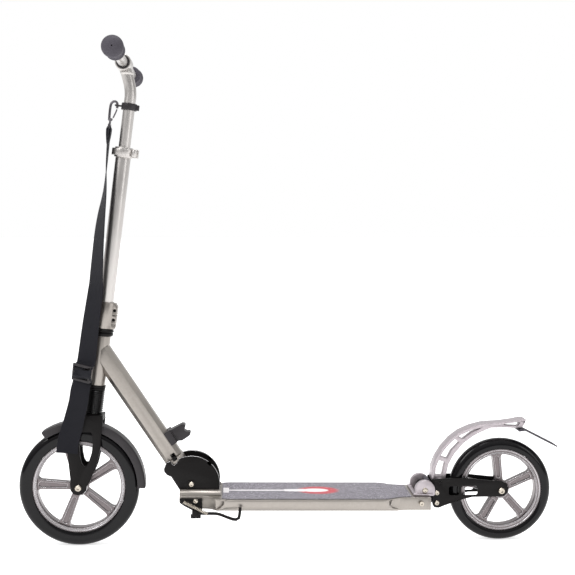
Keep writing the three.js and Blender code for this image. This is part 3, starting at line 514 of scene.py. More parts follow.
def swept(centres, ring_at, name, up=Vector((0, 1, 0))):
    """A body that follows a line of centres. ring_at(i) gives the section's (side, up) points in metres."""
    bm = bmesh.new()
    layer = bm.loops.layers.uv.new("UVMap")
    rings = []
    length = 0
    lengths = []
    for i, centre in enumerate(centres):
        ahead = centres[min(i + 1, len(centres) - 1)]
        behind = centres[max(i - 1, 0)]
        run = (ahead - behind).normalized()
        side = up[i] if isinstance(up, list) else up
        side = (side - run * side.dot(run)).normalized()
        flat = run.cross(side).normalized()
        rings.append([bm.verts.new(centre + side * a + flat * b) for a, b in ring_at(i)])
        length += (centre - behind).length if i else 0
        lengths.append(length)
    count = len(rings[0])
    for i in range(len(rings) - 1):
        sections = [ring_at(i), ring_at(i + 1)]
        for k in range(count):
            m = (k + 1) % count
            face = bm.faces.new((rings[i][k], rings[i][m], rings[i + 1][m], rings[i + 1][k]))
            marks = [(0, k), (0, m), (1, m), (1, k)]
            for corner, (row, column) in zip(face.loops, marks):
                corner[layer].uv = (sections[row][column][0], lengths[i + row])
    bm.faces.new(rings[0])
    bm.faces.new(rings[-1])
    return mesh_of(bm, name)


def smooth_line(points, count):
    """Evenly spread values through control points of any size, on a soft curve."""
    result = []
    last = len(points) - 1
    for n in range(count):
        t = n / (count - 1) * last
        i = min(int(t), last - 1)
        f = t - i
        p0, p1, p2, p3 = (Vector(points[max(0, min(last, i + k))]) for k in (-1, 0, 1, 2))
        value = p1 * 2 + (p2 - p0) * f + (p0 * 2 - p1 * 5 + p2 * 4 - p3) * f * f
        value += (p1 * 3 - p0 - p2 * 3 + p3) * f ** 3
        result.append(value / 2)
    return result


def refined(node, slot, edge, steps, limit=35, bright=False):
    """A CAD node's copy with its loose triangles merged into clean faces and its edges rounded."""
    source = frame["nodes"][node]
    bm = bmesh.new()
    bm.from_mesh(source.data)
    bmesh.ops.remove_doubles(bm, verts=bm.verts, dist=2e-6)
    bmesh.ops.dissolve_limit(bm, angle_limit=math.radians(0.6), verts=bm.verts, edges=bm.edges)
    bmesh.ops.recalc_face_normals(bm, faces=bm.faces)
    mesh = bpy.data.meshes.new(node + "_finished")
    bm.to_mesh(mesh)
    bm.free()
    mesh.materials.append(finish(slot))
    if bright:
        mesh.materials.append(finish("edge_metal"))
    made = piece(node + "_finished", mesh, source["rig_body"], slot, (node,))
    bevel = made.modifiers.new("rounded edges", "BEVEL")
    bevel.width = edge * MM
    bevel.segments = steps
    bevel.limit_method = "ANGLE"
    bevel.angle_limit = math.radians(limit)
    bevel.harden_normals = True
    bevel.use_clamp_overlap = False
    if bright:
        bevel.material = 1
    return made


def polished_slants(mesh, slot, edge_slot):
    """Gives the slanting faces of a part made of flats a brighter, polished material."""
    mesh.materials.append(finish(slot))
    mesh.materials.append(finish(edge_slot))
    for face in mesh.polygons:
        face.material_index = int(SLANT_LOW < abs(face.normal.y) < SLANT_HIGH)


# ---- geometry node trees ------------------------------------------------
def new_tree(name, inputs):
    """An empty geometry node tree with named inputs, each a (name, socket type, default)."""
    tree = bpy.data.node_groups.new(name, "GeometryNodeTree")
    tree.interface.new_socket("Geometry", in_out="INPUT", socket_type="NodeSocketGeometry")
    for label, kind, default in inputs:
        socket = tree.interface.new_socket(label, in_out="INPUT", socket_type=kind)
        if default is not None:
            socket.default_value = default
    tree.interface.new_socket("Geometry", in_out="OUTPUT", socket_type="NodeSocketGeometry")
    return tree


def node(tree, kind, inputs=None, **settings):
    made = tree.nodes.new(kind)
    for key, value in settings.items():
        setattr(made, key, value)
    for key, value in (inputs or {}).items():
        if isinstance(value, bpy.types.NodeSocket):
            tree.links.new(value, made.inputs[key])
        else:
            made.inputs[key].default_value = value
    return made


def finish_tree(tree, geometry, material):
    """Ends a tree in plain, coloured geometry."""
    real = node(tree, "GeometryNodeRealizeInstances", {0: geometry})
    coloured = node(tree, "GeometryNodeSetMaterial", {"Geometry": real.outputs[0], "Material": material})
    smooth = node(tree, "GeometryNodeSetShadeSmooth", {0: coloured.outputs[0]})
    out = node(tree, "NodeGroupOutput")
    tree.links.new(smooth.outputs[0], out.inputs[0])


def grown(tree, base, values, name):
    """Runs a tree on a base mesh with its inputs set, and returns the plain mesh that it makes."""
    holder = bpy.data.objects.new(name, base)
    bpy.context.scene.collection.objects.link(holder)
    modifier = holder.modifiers.new(name, "NODES")
    modifier.node_group = tree
    by_name = {item.name: item.identifier for item in tree.interface.items_tree if item.in_out == "INPUT"}
    for label, value in values.items():
        modifier[by_name[label]] = value
    bpy.context.view_layer.update()
    graph = bpy.context.evaluated_depsgraph_get()
    mesh = bpy.data.meshes.new_from_object(holder.evaluated_get(graph))
    mesh.name = name
    bpy.data.objects.remove(holder)
    bm = bmesh.new()
    bm.from_mesh(mesh)
    bmesh.ops.remove_doubles(bm, verts=bm.verts, dist=1e-7)
    bmesh.ops.recalc_face_normals(bm, faces=bm.faces)
    bm.to_mesh(mesh)
    bm.free()
    return mesh


def coil_tree(material):
    """A wire wound into a helix along Z."""
    inputs = [
        ("Turns", "NodeSocketFloat", 20.0), ("Radius", "NodeSocketFloat", 0.003),
        ("Length", "NodeSocketFloat", 0.04), ("Wire", "NodeSocketFloat", 0.0008),
    ]
    tree = new_tree("wound spring", inputs)
    given = node(tree, "NodeGroupInput").outputs
    helix = node(tree, "GeometryNodeCurveSpiral", {
        "Resolution": 20, "Rotations": given["Turns"], "Start Radius": given["Radius"],
        "End Radius": given["Radius"], "Height": given["Length"],
    })
    wire = node(tree, "GeometryNodeCurvePrimitiveCircle", {"Resolution": 10, "Radius": given["Wire"]})
    skin = node(tree, "GeometryNodeCurveToMesh", {
        0: helix.outputs[0], "Profile Curve": wire.outputs[0], "Fill Caps": True,
    })
    finish_tree(tree, skin.outputs[0], material)
    return tree


def ring_tree(material):
    """Copies of the base mesh spread evenly round the Y axis, then moved to a centre."""
    inputs = [
        ("Count", "NodeSocketInt", SPOKES), ("First", "NodeSocketFloat", 0.0),
        ("Centre", "NodeSocketVector", None),
    ]
    tree = new_tree("copies in a ring", inputs)
    given = node(tree, "NodeGroupInput").outputs
    points = node(tree, "GeometryNodePoints", {"Count": given["Count"]})
    number = node(tree, "GeometryNodeInputIndex")
    step = node(tree, "ShaderNodeMath", {0: 2 * math.pi, 1: given["Count"]}, operation="DIVIDE")
    share = node(tree, "ShaderNodeMath", {0: number.outputs[0], 1: step.outputs[0]}, operation="MULTIPLY")
    angle = node(tree, "ShaderNodeMath", {0: share.outputs[0], 1: given["First"]}, operation="ADD")
    turn = node(tree, "ShaderNodeCombineXYZ", {1: angle.outputs[0]})
    copies = node(tree, "GeometryNodeInstanceOnPoints", {
        "Points": points.outputs[0], "Instance": given["Geometry"], "Rotation": turn.outputs[0],
    })
    inputs = {"Geometry": copies.outputs[0], "Translation": given["Centre"]}
    moved = node(tree, "GeometryNodeTransform", inputs)
    finish_tree(tree, moved.outputs[0], material)
    return tree


def stitch_tree(material):
    """Small thread stitches laid at the base mesh's points, each turned to its own way and face."""
    inputs = [("Thread", "NodeSocketFloat", 0.0004), ("Stitch", "NodeSocketFloat", 0.0026)]
    tree = new_tree("row of stitches", inputs)
    given = node(tree, "NodeGroupInput").outputs
    way = node(tree, "GeometryNodeInputNamedAttribute", {"Name": "way"}, data_type="FLOAT_VECTOR")
    turn = node(tree, "FunctionNodeAlignRotationToVector", {"Vector": way.outputs[0]}, axis="Z")
    thread = node(tree, "GeometryNodeMeshUVSphere", {"Segments": 6, "Rings": 5, "Radius": 1.0})
    half = node(tree, "ShaderNodeMath", {0: given["Stitch"], 1: 0.5}, operation="MULTIPLY")
    size = node(tree, "ShaderNodeCombineXYZ", {0: given["Thread"], 1: given["Thread"], 2: half.outputs[0]})
    copies = node(tree, "GeometryNodeInstanceOnPoints", {
        "Points": given["Geometry"], "Instance": thread.outputs[0],
        "Rotation": turn.outputs[0], "Scale": size.outputs[0],
    })
    finish_tree(tree, copies.outputs[0], material)
    return tree


def laid(name, places, way, thread, stitch, body, tone, slot):
    """A row of stitches at places, all turned one way, as a piece."""
    rows = bpy.data.meshes.new(name + " places")
    rows.from_pydata([tuple(place) for place in places], [], [])
    ways = rows.attributes.new("way", "FLOAT_VECTOR", "POINT")
    ways.data.foreach_set("vector", tuple(way) * len(places))
    mesh = grown(stitch_tree(finish(tone)), rows, {"Thread": thread * MM, "Stitch": stitch * MM}, name)
    return piece(name, mesh, body, slot)


# ---- bolts --------------------------------------------------------------
def bolt_mesh(radius, head, height, reach, place, name):
    """A cross bolt with a domed socket head at both ends, along Y, at a place."""
    socket = head * 0.42
    depth = height * 0.75
    end = reach + height
    top = [(0, end - depth), (socket, end - depth), (socket, end - 0.15), (socket * 1.12, end)]
    top += [(head * 0.72, end - 0.05), (head * 0.92, end - height * 0.3), (head, end - height * 0.62)]
    top += [(head, reach + 0.1), (radius, reach + 0.1)]
    hexed = {1, 2}
    low = [(r, -h) for r, h in reversed(top)]
    profile = top + low
    hexed |= {len(profile) - 1 - k for k in (1, 2)}
    turn = Matrix.Translation(place) @ ALONG_Y
    return turned(profile, 36, turn, name, hexed, 30)


def cross_bolt(node_name, radius, head, height, reach):
    """The finished bolt that stands for a CAD bolt."""
    place = middle(node_name)
    mesh = bolt_mesh(radius, head, height, reach, place, node_name + "_finished")
    body = frame["nodes"][node_name]["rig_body"]
    return piece(node_name + "_finished", mesh, body, "bright_steel", (node_name,))


def washer_pair(name, node_name, inner, outer, y0, y1, slot):
    """A thin ring under a bolt's head on each side."""
    place = Matrix.Translation(middle(node_name)) @ ALONG_Y
    rings = []
    for side in (-1, 1):
        low, high = sorted((side * y0, side * y1))
        ring = loop_profile(tube_wall(inner, outer, low, high), 0.3, 2)
        rings.append(turned(ring, 40, place, name))
    body = frame["nodes"][node_name]["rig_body"]
    return piece(name, joined(rings, name), body, slot)


# ---- wheels -------------------------------------------------------------
def spoke_outline(hub, rim_in, half_in, half_out, flare):
    """Half of a spoke's outline on both sides, straight along +X and flared where it meets the rim."""
    side = [(hub, half_in)]
    bend = rim_in - flare
    side.append((bend, half_out))
    for k in range(1, 9):
        turn = math.pi / 2 * k / 8
        side.append((bend + flare * math.sin(turn), half_out + flare * (1 - math.cos(turn))))
    side.append((rim_in + 2.4, half_out + flare))
    return [Vector(p) for p in side] + [Vector((x, -y)) for x, y in reversed(side)]


def spoke_slot(start, end, half_in, half_out):
    """The sunk channel along a spoke, with round ends."""
    shape = []
    for k in range(9):
        angle = math.pi / 2 + math.pi * k / 8
        shape.append(Vector((start + half_in * math.cos(angle), half_in * math.sin(angle))))
    for k in range(9):
        angle = -math.pi / 2 + math.pi * k / 8
        shape.append(Vector((end + half_out * math.cos(angle), half_out * math.sin(angle))))
    return shape


def wheel(prefix, axle, tyre_r, rim_r, opening, first_spoke, half_in, half_out, flare, slot_end):
    """Tyre, rim with five channelled spokes, and bearings of one wheel."""
    body = prefix + "_wheel"
    round_axle = Matrix.Translation(axle) @ ALONG_Y
    inner = rim_r + 0.3
    crown = [(inner, -11.8), (inner + 1.2, -12.6), (inner + 2.6, -12.9)]
    for k in range(25):
        angle = math.pi * (k / 24 - 0.5)
        squash = math.copysign(abs(math.sin(angle)) ** 0.9, math.sin(angle))
        crown.append((tyre_r - 14.5 + 14.5 * math.cos(angle) ** 0.92, 14.5 * squash))
    crown += [(inner + 2.6, 12.9), (inner + 1.2, 12.6), (inner, 11.8), (inner, -11.8)]
    sides = sizes().wheel_sides
    mesh = turned(crown, sides, round_axle, prefix + "_tyre_finished", sharp=60)
    piece(prefix + "_tyre_finished", mesh, body, "tyre", (prefix + "_tyre",))

    lip = [(opening, 0), (opening, -9), (opening + 1.4, -12.3), (opening + 3.2, -12.5)]
    lip += [(opening + 4.2, -11.2), (rim_r - 3.0, -11.2), (rim_r - 2.2, -12.5), (rim_r, -12.5)]
    other = [(r, -y) for r, y in reversed(lip[1:])]
    band = turned(loop_profile(lip + other, 0.7, 3), sides, round_axle, "band", sharp=50)
    hub = [(11.3, -12.7), (15, -12.9), (16.3, -12), (18.5, -7.4)]
    hub += [(r, -y) for r, y in reversed(hub)]
    hub = turned(loop_profile(hub, 0.8, 3), 64, round_axle, "hub")
    shape = spoke_outline(14, opening, half_in, half_out, flare)
    sunk = spoke_slot(26, slot_end, half_in * 0.42, half_out * 0.5)
    core = plate_mesh([shape], 4.6, 0.5, "core", UPRIGHT_PLATE)
    raised = plate_mesh([shape, sunk], 7.5, 1.4, "raised", UPRIGHT_PLATE)
    tree = ring_tree(finish("wheel_alloy"))
    values = {"Count": SPOKES, "First": -math.radians(first_spoke), "Centre": axle}
    spokes = grown(tree, joined([core, raised], "spoke"), values, "spokes")
    spokes.set_sharp_from_angle(angle=math.radians(42))
    mesh = joined([band, hub, spokes], prefix + "_rim_finished", 42)
    polished_slants(mesh, "wheel_alloy", "edge_metal")
    piece(prefix + "_rim_finished", mesh, body, "wheel_alloy", (prefix + "_rim",))
    for side, word in ((-1, "left"), (1, "right")):
        low, high = sorted((side * 5.5, side * 12.4))
        race = [(4.35, low), (6.2, low), (6.2, low + 0.7), (9.4, low + 0.7), (9.4, low), (11, low),
                (11, high), (9.4, high), (9.4, high - 0.7), (6.2, high - 0.7), (6.2, high), (4.35, high)]
        name = f"{prefix}_bearing_{word}"
        mesh = turned(loop_profile(race, 0.25, 2), 48, round_axle, name + "_finished", sharp=30)
        piece(name + "_finished", mesh, body, "bright_steel", (name,))


# ---- operators ----------------------------------------------------------
class SCOOTER_OT_wheels(bpy.types.Operator):
    """Make both wheels: tyres, rims with five channelled spokes, bearings and axle bolts"""

    bl_idname = "scooter.wheels"
    bl_label = "Wheels"

    def execute(self, context):
        wheel("front", FRONT_AXLE, 115, 88, 79.5, 32.5, 7.5, 9.5, 9, 72)
        wheel("rear", REAR_AXLE, 100, 79.8, 69, 24, 8, 8.5, 8, 61)
        cross_bolt("front_axle_bolt", 4, 6.6, 3.5, 24.5)
        cross_bolt("rear_axle_bolt", 4, 6.6, 3.5, 23)
        return {"FINISHED"}


class SCOOTER_OT_fork(bpy.types.Operator):
    """Make the fork, its gaiter, the mudguard and their small fixings"""

    bl_idname = "scooter.fork"
    bl_label = "Fork"

    def execute(self, context):
        refined("fork", "black_metal", 0.9, 3)
        low, high = GAITER_LOW, GAITER_HIGH
        folds = sizes().gaiter_folds
        pitch = (high - low) / folds
        skin = [(14.6, low), (16.4, low)]
        for k in range(folds):
            base = low + pitch * k
            skin += [(16.5, base + 0.08 * pitch), (18.4, base + 0.36 * pitch), (18.9, base + 0.5 * pitch)]
            skin += [(18.4, base + 0.64 * pitch), (16.5, base + 0.92 * pitch)]
        skin += [(16.4, high), (14.6, high), (14.6, low)]
        mesh = turned(skin, sizes().sides, COLUMN, "fork_gaiter_finished", sharp=80)
        mesh.materials.append(finish("gloss_rubber"))
        made = piece("fork_gaiter_finished", mesh, None, "grip_rubber", ("fork_gaiter",))
        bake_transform(made)
        refined("front_mudguard", "black_plastic", 0.8, 3)
        place = COLUMN @ Vector((19.6 * MM, 0, 136 * MM))
        mesh = bolt_mesh(2, 4.2, 3, 0, place, "crown_bolt")
        here = Matrix.Translation(place)
        mesh.transform(here @ Matrix.Rotation(math.pi / 2, 4, "Z") @ here.inverted())
        piece("crown_bolt", mesh, "fork", "black_metal")
        return {"FINISHED"}


def column_round(word, node_name, body, slot, corner, points):
    """A tube or ring on the steering column, standing for a CAD node."""
    name = word + "_finished"
    mesh = turned(loop_profile(points, corner, 3), sizes().sides, COLUMN, name)
    return piece(name, mesh, body, slot, (node_name,))


def tube_wall(inner, outer, low, high):
    return [(inner, low), (outer, low), (outer, high), (inner, high)]


class SCOOTER_OT_column(bpy.types.Operator):
    """Make the head tube, headset rings, clamp, lower stem and quick release"""

    bl_idname = "scooter.column"
    bl_label = "Steering column"

    def execute(self, context):
        column_round("head_tube", "head_tube", "front_frame", "satin_grey", 0.4,
                     tube_wall(14.6, 16.8, 197.6, 292.3))
        column_round("upper_headset", "upper_headset_cup", "front_frame", "black_metal", 0.7, [
            (14.35, 292.6), (19.5, 292.6), (21, 295.3), (21, 298.3), (18.8, 299.3), (21.4, 300.8),
            (21.4, 303.3), (19, 306.3), (14.35, 306.3)])
        column_round("lower_headset", "lower_headset_cup", "front_frame", "black_metal", 0.6,
                     tube_wall(14.35, 18.6, 192.6, 197.3))
        column_round("steerer", "steerer_tube", "steering", "black_metal", 0.3, [
            (12.3, 188.6), (18, 188.6), (18.4, 189.6), (18.4, 191.8), (14, 192.2), (14, 330), (12.3, 330)])
        column_round("lower_stem", "lower_stem_tube", "steering", "satin_silver", 0.5,
                     tube_wall(11.4, 14.3, 331, 650.5))
        refined("pinch_clamp", "satin_grey", 0.35, 2)
        for word in ("lower", "upper"):
            name = "pinch_screw_" + word
            mesh = bolt_mesh(1.6, 2.8, 2.4, 8.2, middle(name), name + "_finished")
            piece(name + "_finished", mesh, "steering", "black_metal", (name,))
        refined("quick_collar", "satin_silver", 0.7, 3)
        refined("quick_skewer", "bright_steel", 0.4, 2)
        refined("quick_lever", "satin_silver", 0.7, 3)
        return {"FINISHED"}


class SCOOTER_OT_handlebar(bpy.types.Operator):
    """Make the upper stem with its T socket, the strap ring and hook, the bars and the grips"""

    bl_idname = "scooter.handlebar"
    bl_label = "Handlebar"

    def execute(self, context):
        line = [(0, 0, h) for h in (430, 520, 610, 700, 738)]
        line += [(0, 0, 750), (-2.3, 0, 765), (-7.2, 0, 780), (-13, 0, 794), (-BAR_AHEAD, 0, BAR_HEIGHT - 3)]
        straight = [Vector(p) for p in line[:5]]
        bend = smooth_line(line[4:], 28)
        centres = [COLUMN @ (p * MM) for p in straight[:-1] + bend]
        sides = sizes().sides

        def ring(_):
            angles = [2 * math.pi * k / sides for k in range(sides)]
            return [(11.1 * MM * math.cos(angle), 11.1 * MM * math.sin(angle)) for angle in angles]

        tube = swept(centres, ring, "tube")
        place = COLUMN @ Matrix.Translation((-BAR_AHEAD * MM, 0, BAR_HEIGHT * MM)) @ ALONG_Y
        socket = turned(loop_profile(tube_wall(9.35, 15.2, -25, 25), 1.2, 4), sides, place, "socket")
        bead = turned(loop_profile([(10.6, 788), (12.6, 790.2), (13.4, 793.6), (10.6, 794)], 0.9, 3), sides,
                      COLUMN @ Matrix.Translation((-11.6 * MM, 0, 0)), "bead")
        mesh = joined([tube, socket, bead], "upper_stem_finished")
        piece("upper_stem_finished", mesh, "handlebar", "satin_silver", ("upper_stem_tube",))
        refined("strap_ring", "black_plastic", 0.7, 3)
        for name in ("snap_hook", "hook_gate"):
            refined(name, "bright_steel", 0.3, 2, limit=50).data.materials[0] = finish("hook_metal")
        for side, word in ((-1, "left"), (1, "right")):
            self.bar(place, side, word, sides)
        return {"FINISHED"}

    def bar(self, place, side, word, sides):
        """One pull-out bar with its grip and bush. Built towards the far end, then turned to its side."""
        place = place @ Matrix.Rotation(0 if side > 0 else math.pi, 4, "X")
        tube = loop_profile(tube_wall(7.6, 9.05, 2, 219.5), 0.3, 2)
        mesh = turned(tube, sides, place, f"bar_tube_{word}_finished")
        piece(f"bar_tube_{word}_finished", mesh, "bar_" + word, "satin_silver", ("bar_tube_" + word,))
        profile = [(9.35, 165), (16.4, 165), (17.5, 166), (17.5, 168), (16.4, 169), (14.6, 171)]
        for k in range(4):
            at = 173 + 6.2 * k
            profile += [(14.5, at), (15.3, at + 0.9), (15.3, at + 3.4), (14.5, at + 4.3)]
        profile += [(14.9, 199), (16.6, 204), (18.9, 208), (19.4, 210.5), (19.4, 214)]
        for k in range(1, 9):
            angle = math.pi / 2 * k / 9
            profile.append((1.4 + 18 * math.cos(angle), 214 + 10.8 * math.sin(angle)))
        profile += [(1.4, 224.8), (1.4, 219.8), (9.35, 219.8), (9.35, 165)]
        mesh = turned(profile, sides, place, f"grip_{word}_finished", sharp=50)
        piece(f"grip_{word}_finished", mesh, "bar_" + word, "grip_rubber", ("grip_" + word,))
        bush = loop_profile([(9.2, 24), (9.2, 26.8), (12.6, 26.8), (12.6, 25.1), (9.9, 24)], 0.4, 2)
        mesh = turned(bush, sides, place, f"bar_bush_{word}")
        piece(f"bar_bush_{word}", mesh, "handlebar", "black_plastic")


def strap_mesh(stations, rows, name, width_at=None):
    """A flat woven band through (x, y, z, turn) stations, in millimetres and degrees, with soft edges."""
    line = smooth_line(stations, rows)
    low_x = FRONT_AXLE.x
    centres = [Vector((p[0] * MM + low_x, p[1] * MM, p[2] * MM)) for p in line]
    sides = [Vector((math.cos(math.radians(p[3])), -math.sin(math.radians(p[3])), 0)) for p in line]
    thick = sizes().strap_thick
    width = sizes().strap_width

    def section(i):
        share = width_at(i / (rows - 1)) if width_at else 1.0
        half, deep = width / 2 * share, thick / 2
        xs = [-1, -0.985, -0.93, -0.5, 0, 0.5, 0.93, 0.985, 1]
        ys = [0.35, 0.85, 1, 0.86, 0.84, 0.86, 1, 0.85, 0.35]
        over = [(x * half, y * deep) for x, y in zip(xs, ys)]
        return over + [(x, -y) for x, y in reversed(over)]

    return swept(centres, section, name, up=sides), centres, sides


class SCOOTER_OT_strap(bpy.types.Operator):
    """Make the carry strap with its stitching and buckle"""

    bl_idname = "scooter.strap"
    bl_label = "Carry strap"

    def execute(self, context):
        upper = [
            (62.8, 0, 802, 90), (62, 0, 793, 90), (60, -1, 765, 89), (57, -4, 725, 85), (54, -9, 680, 76),
            (48, -15, 635, 64), (43.8, -19, 595, 57), (39, -23, 530, 49), (37.9, -24.5, 508, 45),
            (36, -26, 485, 38), (28, -29, 430, 33), (21, -32, 372, 26), (18, -33.2, 353, 25),
        ]
        mesh, centres, sides = strap_mesh(upper, 160, "strap_upper_finished", lambda t: min(1, 0.5 + 9 * t))
        made = piece("strap_upper_finished", mesh, None, "webbing", ("strap_upper",))
        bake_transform(made)
        self.sewn_end(centres[0], centres[5])
        lower = [
            (17.5, -33.5, 357, 25), (16, -36.5, 350, 25), (14.5, -43.4, 342.5, 32), (13.2, -43.4, 333, 32),
            (11.8, -36.5, 325.5, 25), (10.6, -34, 319, 24), (6.8, -34.5, 303, 22), (2.7, -34, 278, 20),
            (-6.5, -32, 242, 12), (-14, -30.8, 217, 0), (-18, -30.4, 198, -4), (-19.5, -30.2, 184, -5),
        ]
        mesh, centres, sides = strap_mesh(lower, 90, "strap_lower_finished")
        made = piece("strap_lower_finished", mesh, None, "webbing", ("strap_lower",))
        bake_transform(made)
        refined("strap_buckle", "black_plastic", 1.1, 4)
        return {"FINISHED"}

    def sewn_end(self, top, below):
        """The doubled, stitched end that holds the hook's eye."""
        run = (below - top).normalized()
        centres = [top + run * (share * 34 * MM) for share in (0, 0.15, 0.4, 0.7, 1)]
        deep = [2.6, 4.6, 4.2, 3.0, 1.2]

        def section(i):
            half, thick = 10 * MM, deep[i] * MM
            return [(-half, -thick), (half, -thick), (half, thick), (-half, thick)]

        mesh = swept(centres, section, "strap_sewn_end", up=Vector((0, 1, 0)))
        piece("strap_sewn_end", mesh, "handlebar", "webbing")
        places = []
        for side in (-1, 1):
            for lane in (-7, 7):
                for k in range(9):
                    at = top + run * ((5 + 3 * k) * MM)
                    depth = (4.6 - 0.09 * 3 * k) * MM
                    places.append(at + Vector((side * depth, lane * MM, 0)))
        laid("strap_stitches", places, run, 0.35, 2.2, "handlebar", "black_plastic", "webbing")


class SCOOTER_OT_fold(bpy.types.Operator):
    """Make the down tube, the folding joint and its release"""

    bl_idname = "scooter.fold"
    bl_label = "Folding joint"

    def execute(self, context):
        for name, edge in (("down_tube", 0.5), ("hinge_block", 0.8), ("fold_base", 0.9)):
            refined(name, "satin_grey", edge, 3)
        for word in ("left", "right"):
            refined("fold_plate_" + word, "black_metal", 0.55, 2, bright=True)
        cross_bolt("fold_pivot_bolt", 4, 5.4, 3, 29.5)
        washer_pair("fold_pivot_washers", "fold_pivot_bolt", 5.7, 7.6, 29.6, 30.8, "black_metal")
        refined("lock_pin", "black_metal", 0.3, 2)
        refined("release_handle", "black_plastic", 1.2, 4)
        self.weld()
        return {"FINISHED"}

    def weld(self):
        """Overlapping weld ripples where the down tube meets the head tube."""
        path = [
            (16.9, 3, 272), (14.5, 8.5, 269), (8.4, 14.6, 262),
            (8.4, 14.6, 240), (14.5, 8.5, 228), (16.7, 3, 222),
        ]
        places = []
        for side in (-1, 1):
            for start, end in zip(path, path[1:]):
                first, last = (Vector((u, side * y, h)) * MM for u, y, h in (start, end))
                count = max(2, int((last - first).length / (2.2 * MM)))
                places += [COLUMN @ first.lerp(last, k / count) for k in range(count)]
        laid("weld_ripples", places, COLUMN.to_3x3() @ Vector((0, 0, 1)), 1.9, 3.4,
             "front_frame", "satin_grey", "satin_grey")


class SCOOTER_OT_deck(bpy.types.Operator):
    """Make the deck, its gritty tape and its screws"""

    bl_idname = "scooter.deck"
    bl_label = "Deck"

    def execute(self, context):
        refined("deck", "satin_grey", 1.0, 3)
        refined("grip_tape", "grip_tape", 0.25, 2)
        head = [(0, 0), (1.6, 0), (1.6, 1.6), (1.9, 1.8), (4.4, 1.6), (4.8, 0.6), (4.8, -6), (0, -6)]
        for side in (-1, 1):
            turn = Matrix.Translation(DECK @ Vector((461 * MM, side * 58 * MM, -11 * MM))) @ ALONG_Y
            mesh = turned([(r, side * h) for r, h in head], 36, turn, "screw", {1, 2}, 30)
            piece("deck_side_screw", mesh, "chassis", "bright_steel")
        return {"FINISHED"}


class SCOOTER_OT_kickstand(bpy.types.Operator):
    """Make the kickstand, its bracket and its coil spring"""

    bl_idname = "scooter.kickstand"
    bl_label = "Kickstand"

    def execute(self, context):
        refined("kick_bracket", "black_metal", 0.6, 3)
        refined("kick_bracket_bolt", "bright_steel", 0.4, 2)
        refined("kick_leg", "black_metal", 0.4, 2, limit=50)
        low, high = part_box("kick_spring")
        start = Vector((low.x + 1.2 * MM, (low.y + high.y) / 2, high.z - 3.4 * MM))
        end = Vector((high.x - 1.2 * MM, (low.y + high.y) / 2, low.z + 3.4 * MM))
        tree = coil_tree(finish("bright_steel"))
        values = {
            "Turns": float(sizes().spring_turns), "Radius": 2.7 * MM, "Length": (end - start).length,
            "Wire": 0.62 * MM,
        }
        mesh = grown(tree, bpy.data.meshes.new("spring base"), values, "kick_spring_finished")
        turn = Vector((0, 0, 1)).rotation_difference(end - start).to_matrix().to_4x4()
        mesh.transform(Matrix.Translation(start) @ turn)
        made = piece("kick_spring_finished", mesh, None, "bright_steel", ("kick_spring",))
        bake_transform(made)
        return {"FINISHED"}


class SCOOTER_OT_rear(bpy.types.Operator):
    """Make the rear bracket, the sprung arm plates and their bolts"""

    bl_idname = "scooter.rear"
    bl_label = "Rear arm"

    def execute(self, context):
        refined("rear_bracket", "cast_alloy", 0.9, 3)
        cross_bolt("rear_pivot_bolt", 5, 5.4, 2, 36)
        for name in ("arm_left", "arm_right", "swing_block"):
            refined(name, "black_metal", 0.8, 3)
        refined("rear_rubber", "grip_rubber", 1.0, 3)
        for name in ("arm_bolt_upper", "arm_bolt_lower"):
            cross_bolt(name, 3, 5, 2.5, 23)
        return {"FINISHED"}


class SCOOTER_OT_brake(bpy.types.Operator):
    """Make the openwork foot brake and its flap"""

    bl_idname = "scooter.brake"
    bl_label = "Brake"

    def execute(self, context):
        refined("brake", "cast_alloy", 0.9, 3)
        refined("brake_pin", "black_metal", 0.4, 2)
        refined("mud_flap", "grip_rubber", 0.4, 2)
        return {"FINISHED"}


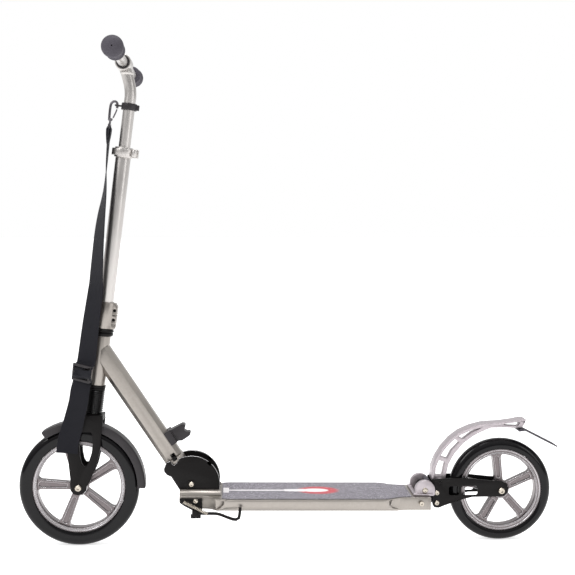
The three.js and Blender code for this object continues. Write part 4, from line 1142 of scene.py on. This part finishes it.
class SCOOTER_OT_stage(bpy.types.Operator):
    """Make the pale floor, the soft lights and the camera"""

    bl_idname = "scooter.stage"
    bl_label = "Stage"

    def execute(self, context):
        scene = context.scene
        mesh = bpy.data.meshes.new("floor")
        corners = [(x * FLOOR_HALF, y * FLOOR_HALF, 0) for x, y in ((-1, -1), (1, -1), (1, 1), (-1, 1))]
        mesh.from_pydata(corners, [], [(0, 1, 2, 3)])
        made = Recipe("pale_floor")
        cloud = made.noise(made.place(), 3.0, 4.0)
        tone = colours().floor
        made.set(Base_Color=made.mix(made.span(cloud, 0, 0.1), rgba(tone), rgba(tone, 0.96)))
        made.set(Roughness=0.9, Specular_IOR_Level=0.1)
        made.set(Emission_Color=(1, 1, 1, 1), Emission_Strength=FLOOR_GLOW)
        mesh.materials.append(made.material)
        floor = bpy.data.objects.new("floor", mesh)
        scene.collection.objects.link(floor)
        self.lights(scene)
        self.camera(scene)
        return {"FINISHED"}

    def lights(self, scene):
        world = bpy.data.worlds.new("studio")
        world.use_nodes = True
        tree = world.node_tree
        back = tree.nodes["Background"]
        way = tree.nodes.new("ShaderNodeSeparateXYZ")
        tree.links.new(tree.nodes.new("ShaderNodeTexCoord").outputs["Generated"], way.inputs[0])
        rise = self.share(tree, way.outputs[2], -0.15, 0.75)
        behind = self.share(tree, way.outputs[1], -0.5, 0.8)
        either = self.combine(tree, "MAXIMUM", rise, behind)
        glow = self.share(tree, either, 0.0, 1.0, WORLD_DARK, WORLD_BRIGHT)
        seen = tree.nodes.new("ShaderNodeLightPath").outputs["Is Camera Ray"]
        tree.links.new(self.combine(tree, "MAXIMUM", glow, seen), back.inputs["Strength"])
        back.inputs["Color"].default_value = (1, 1, 1, 1)
        scene.world = world
        aims = [
            ("key", (-1.9, -1.2, 2.4), 0.9, 1.6, 26),
            ("fill", (2.4, -1.8, 1.2), 0.7, 1.6, 9),
            ("top", (0.1, -0.2, 3.0), 1.6, 0.7, 34),
        ]
        for name, place, width, height, power in aims:
            light = bpy.data.lights.new(name, "AREA")
            light.shape = "RECTANGLE"
            light.size, light.size_y, light.energy = width, height, power
            lamp = bpy.data.objects.new(name, light)
            lamp.location = place
            lamp.rotation_euler = (LIGHT_AIM - Vector(place)).to_track_quat("-Z", "Y").to_euler()
            scene.collection.objects.link(lamp)

    def share(self, tree, value, low, high, start=0.0, end=1.0):
        """A value spread from start to end as it goes from low to high."""
        node = tree.nodes.new("ShaderNodeMapRange")
        tree.links.new(value, node.inputs["Value"])
        for label, number in (("From Min", low), ("From Max", high), ("To Min", start), ("To Max", end)):
            node.inputs[label].default_value = number
        return node.outputs[0]

    def combine(self, tree, operation, first, second):
        node = tree.nodes.new("ShaderNodeMath")
        node.operation = operation
        tree.links.new(first, node.inputs[0])
        tree.links.new(second, node.inputs[1])
        return node.outputs[0]

    def camera(self, scene):
        data = bpy.data.cameras.new("camera")
        data.sensor_width = 36
        data.lens = 70.83
        camera = bpy.data.objects.new("camera", data)
        camera.location = (-0.1129, -2.1705, 0.6221)
        camera.rotation_euler = (math.radians(90 - 3.331), 0, math.radians(-2.849))
        scene.collection.objects.link(camera)
        scene.camera = camera


OPERATORS = (
    SCOOTER_OT_wheels, SCOOTER_OT_fork, SCOOTER_OT_column, SCOOTER_OT_handlebar, SCOOTER_OT_strap,
    SCOOTER_OT_fold, SCOOTER_OT_deck, SCOOTER_OT_kickstand, SCOOTER_OT_rear, SCOOTER_OT_brake,
    SCOOTER_OT_stage,
)


class SCOOTER_PT_panel(bpy.types.Panel):
    """Lists the scooter's sizes, colours and pieces"""

    bl_idname = "SCOOTER_PT_panel"
    bl_label = "Kick Scooter"
    bl_space_type = "VIEW_3D"
    bl_region_type = "UI"
    bl_category = "Scooter"

    def draw(self, context):
        for group in (context.scene.scooter_sizes, context.scene.scooter_colours):
            box = self.layout.box()
            for name in group.__annotations__:
                box.prop(group, name)
        for operator in OPERATORS:
            self.layout.operator(operator.bl_idname)


CLASSES = (ScooterSizes, ScooterColours, *OPERATORS, SCOOTER_PT_panel)


def register():
    for item in CLASSES:
        bpy.utils.register_class(item)
    bpy.types.Scene.scooter_sizes = bpy.props.PointerProperty(type=ScooterSizes)
    bpy.types.Scene.scooter_colours = bpy.props.PointerProperty(type=ScooterColours)


def unregister():
    del bpy.types.Scene.scooter_colours
    del bpy.types.Scene.scooter_sizes
    for item in reversed(CLASSES):
        bpy.utils.unregister_class(item)


def main():
    register()
    for operator in OPERATORS:
        group, name = operator.bl_idname.split(".")
        getattr(getattr(bpy.ops, group), name)()
    bpy.context.scene.view_settings.view_transform = "Standard"


if __name__ == "__main__":
    main()
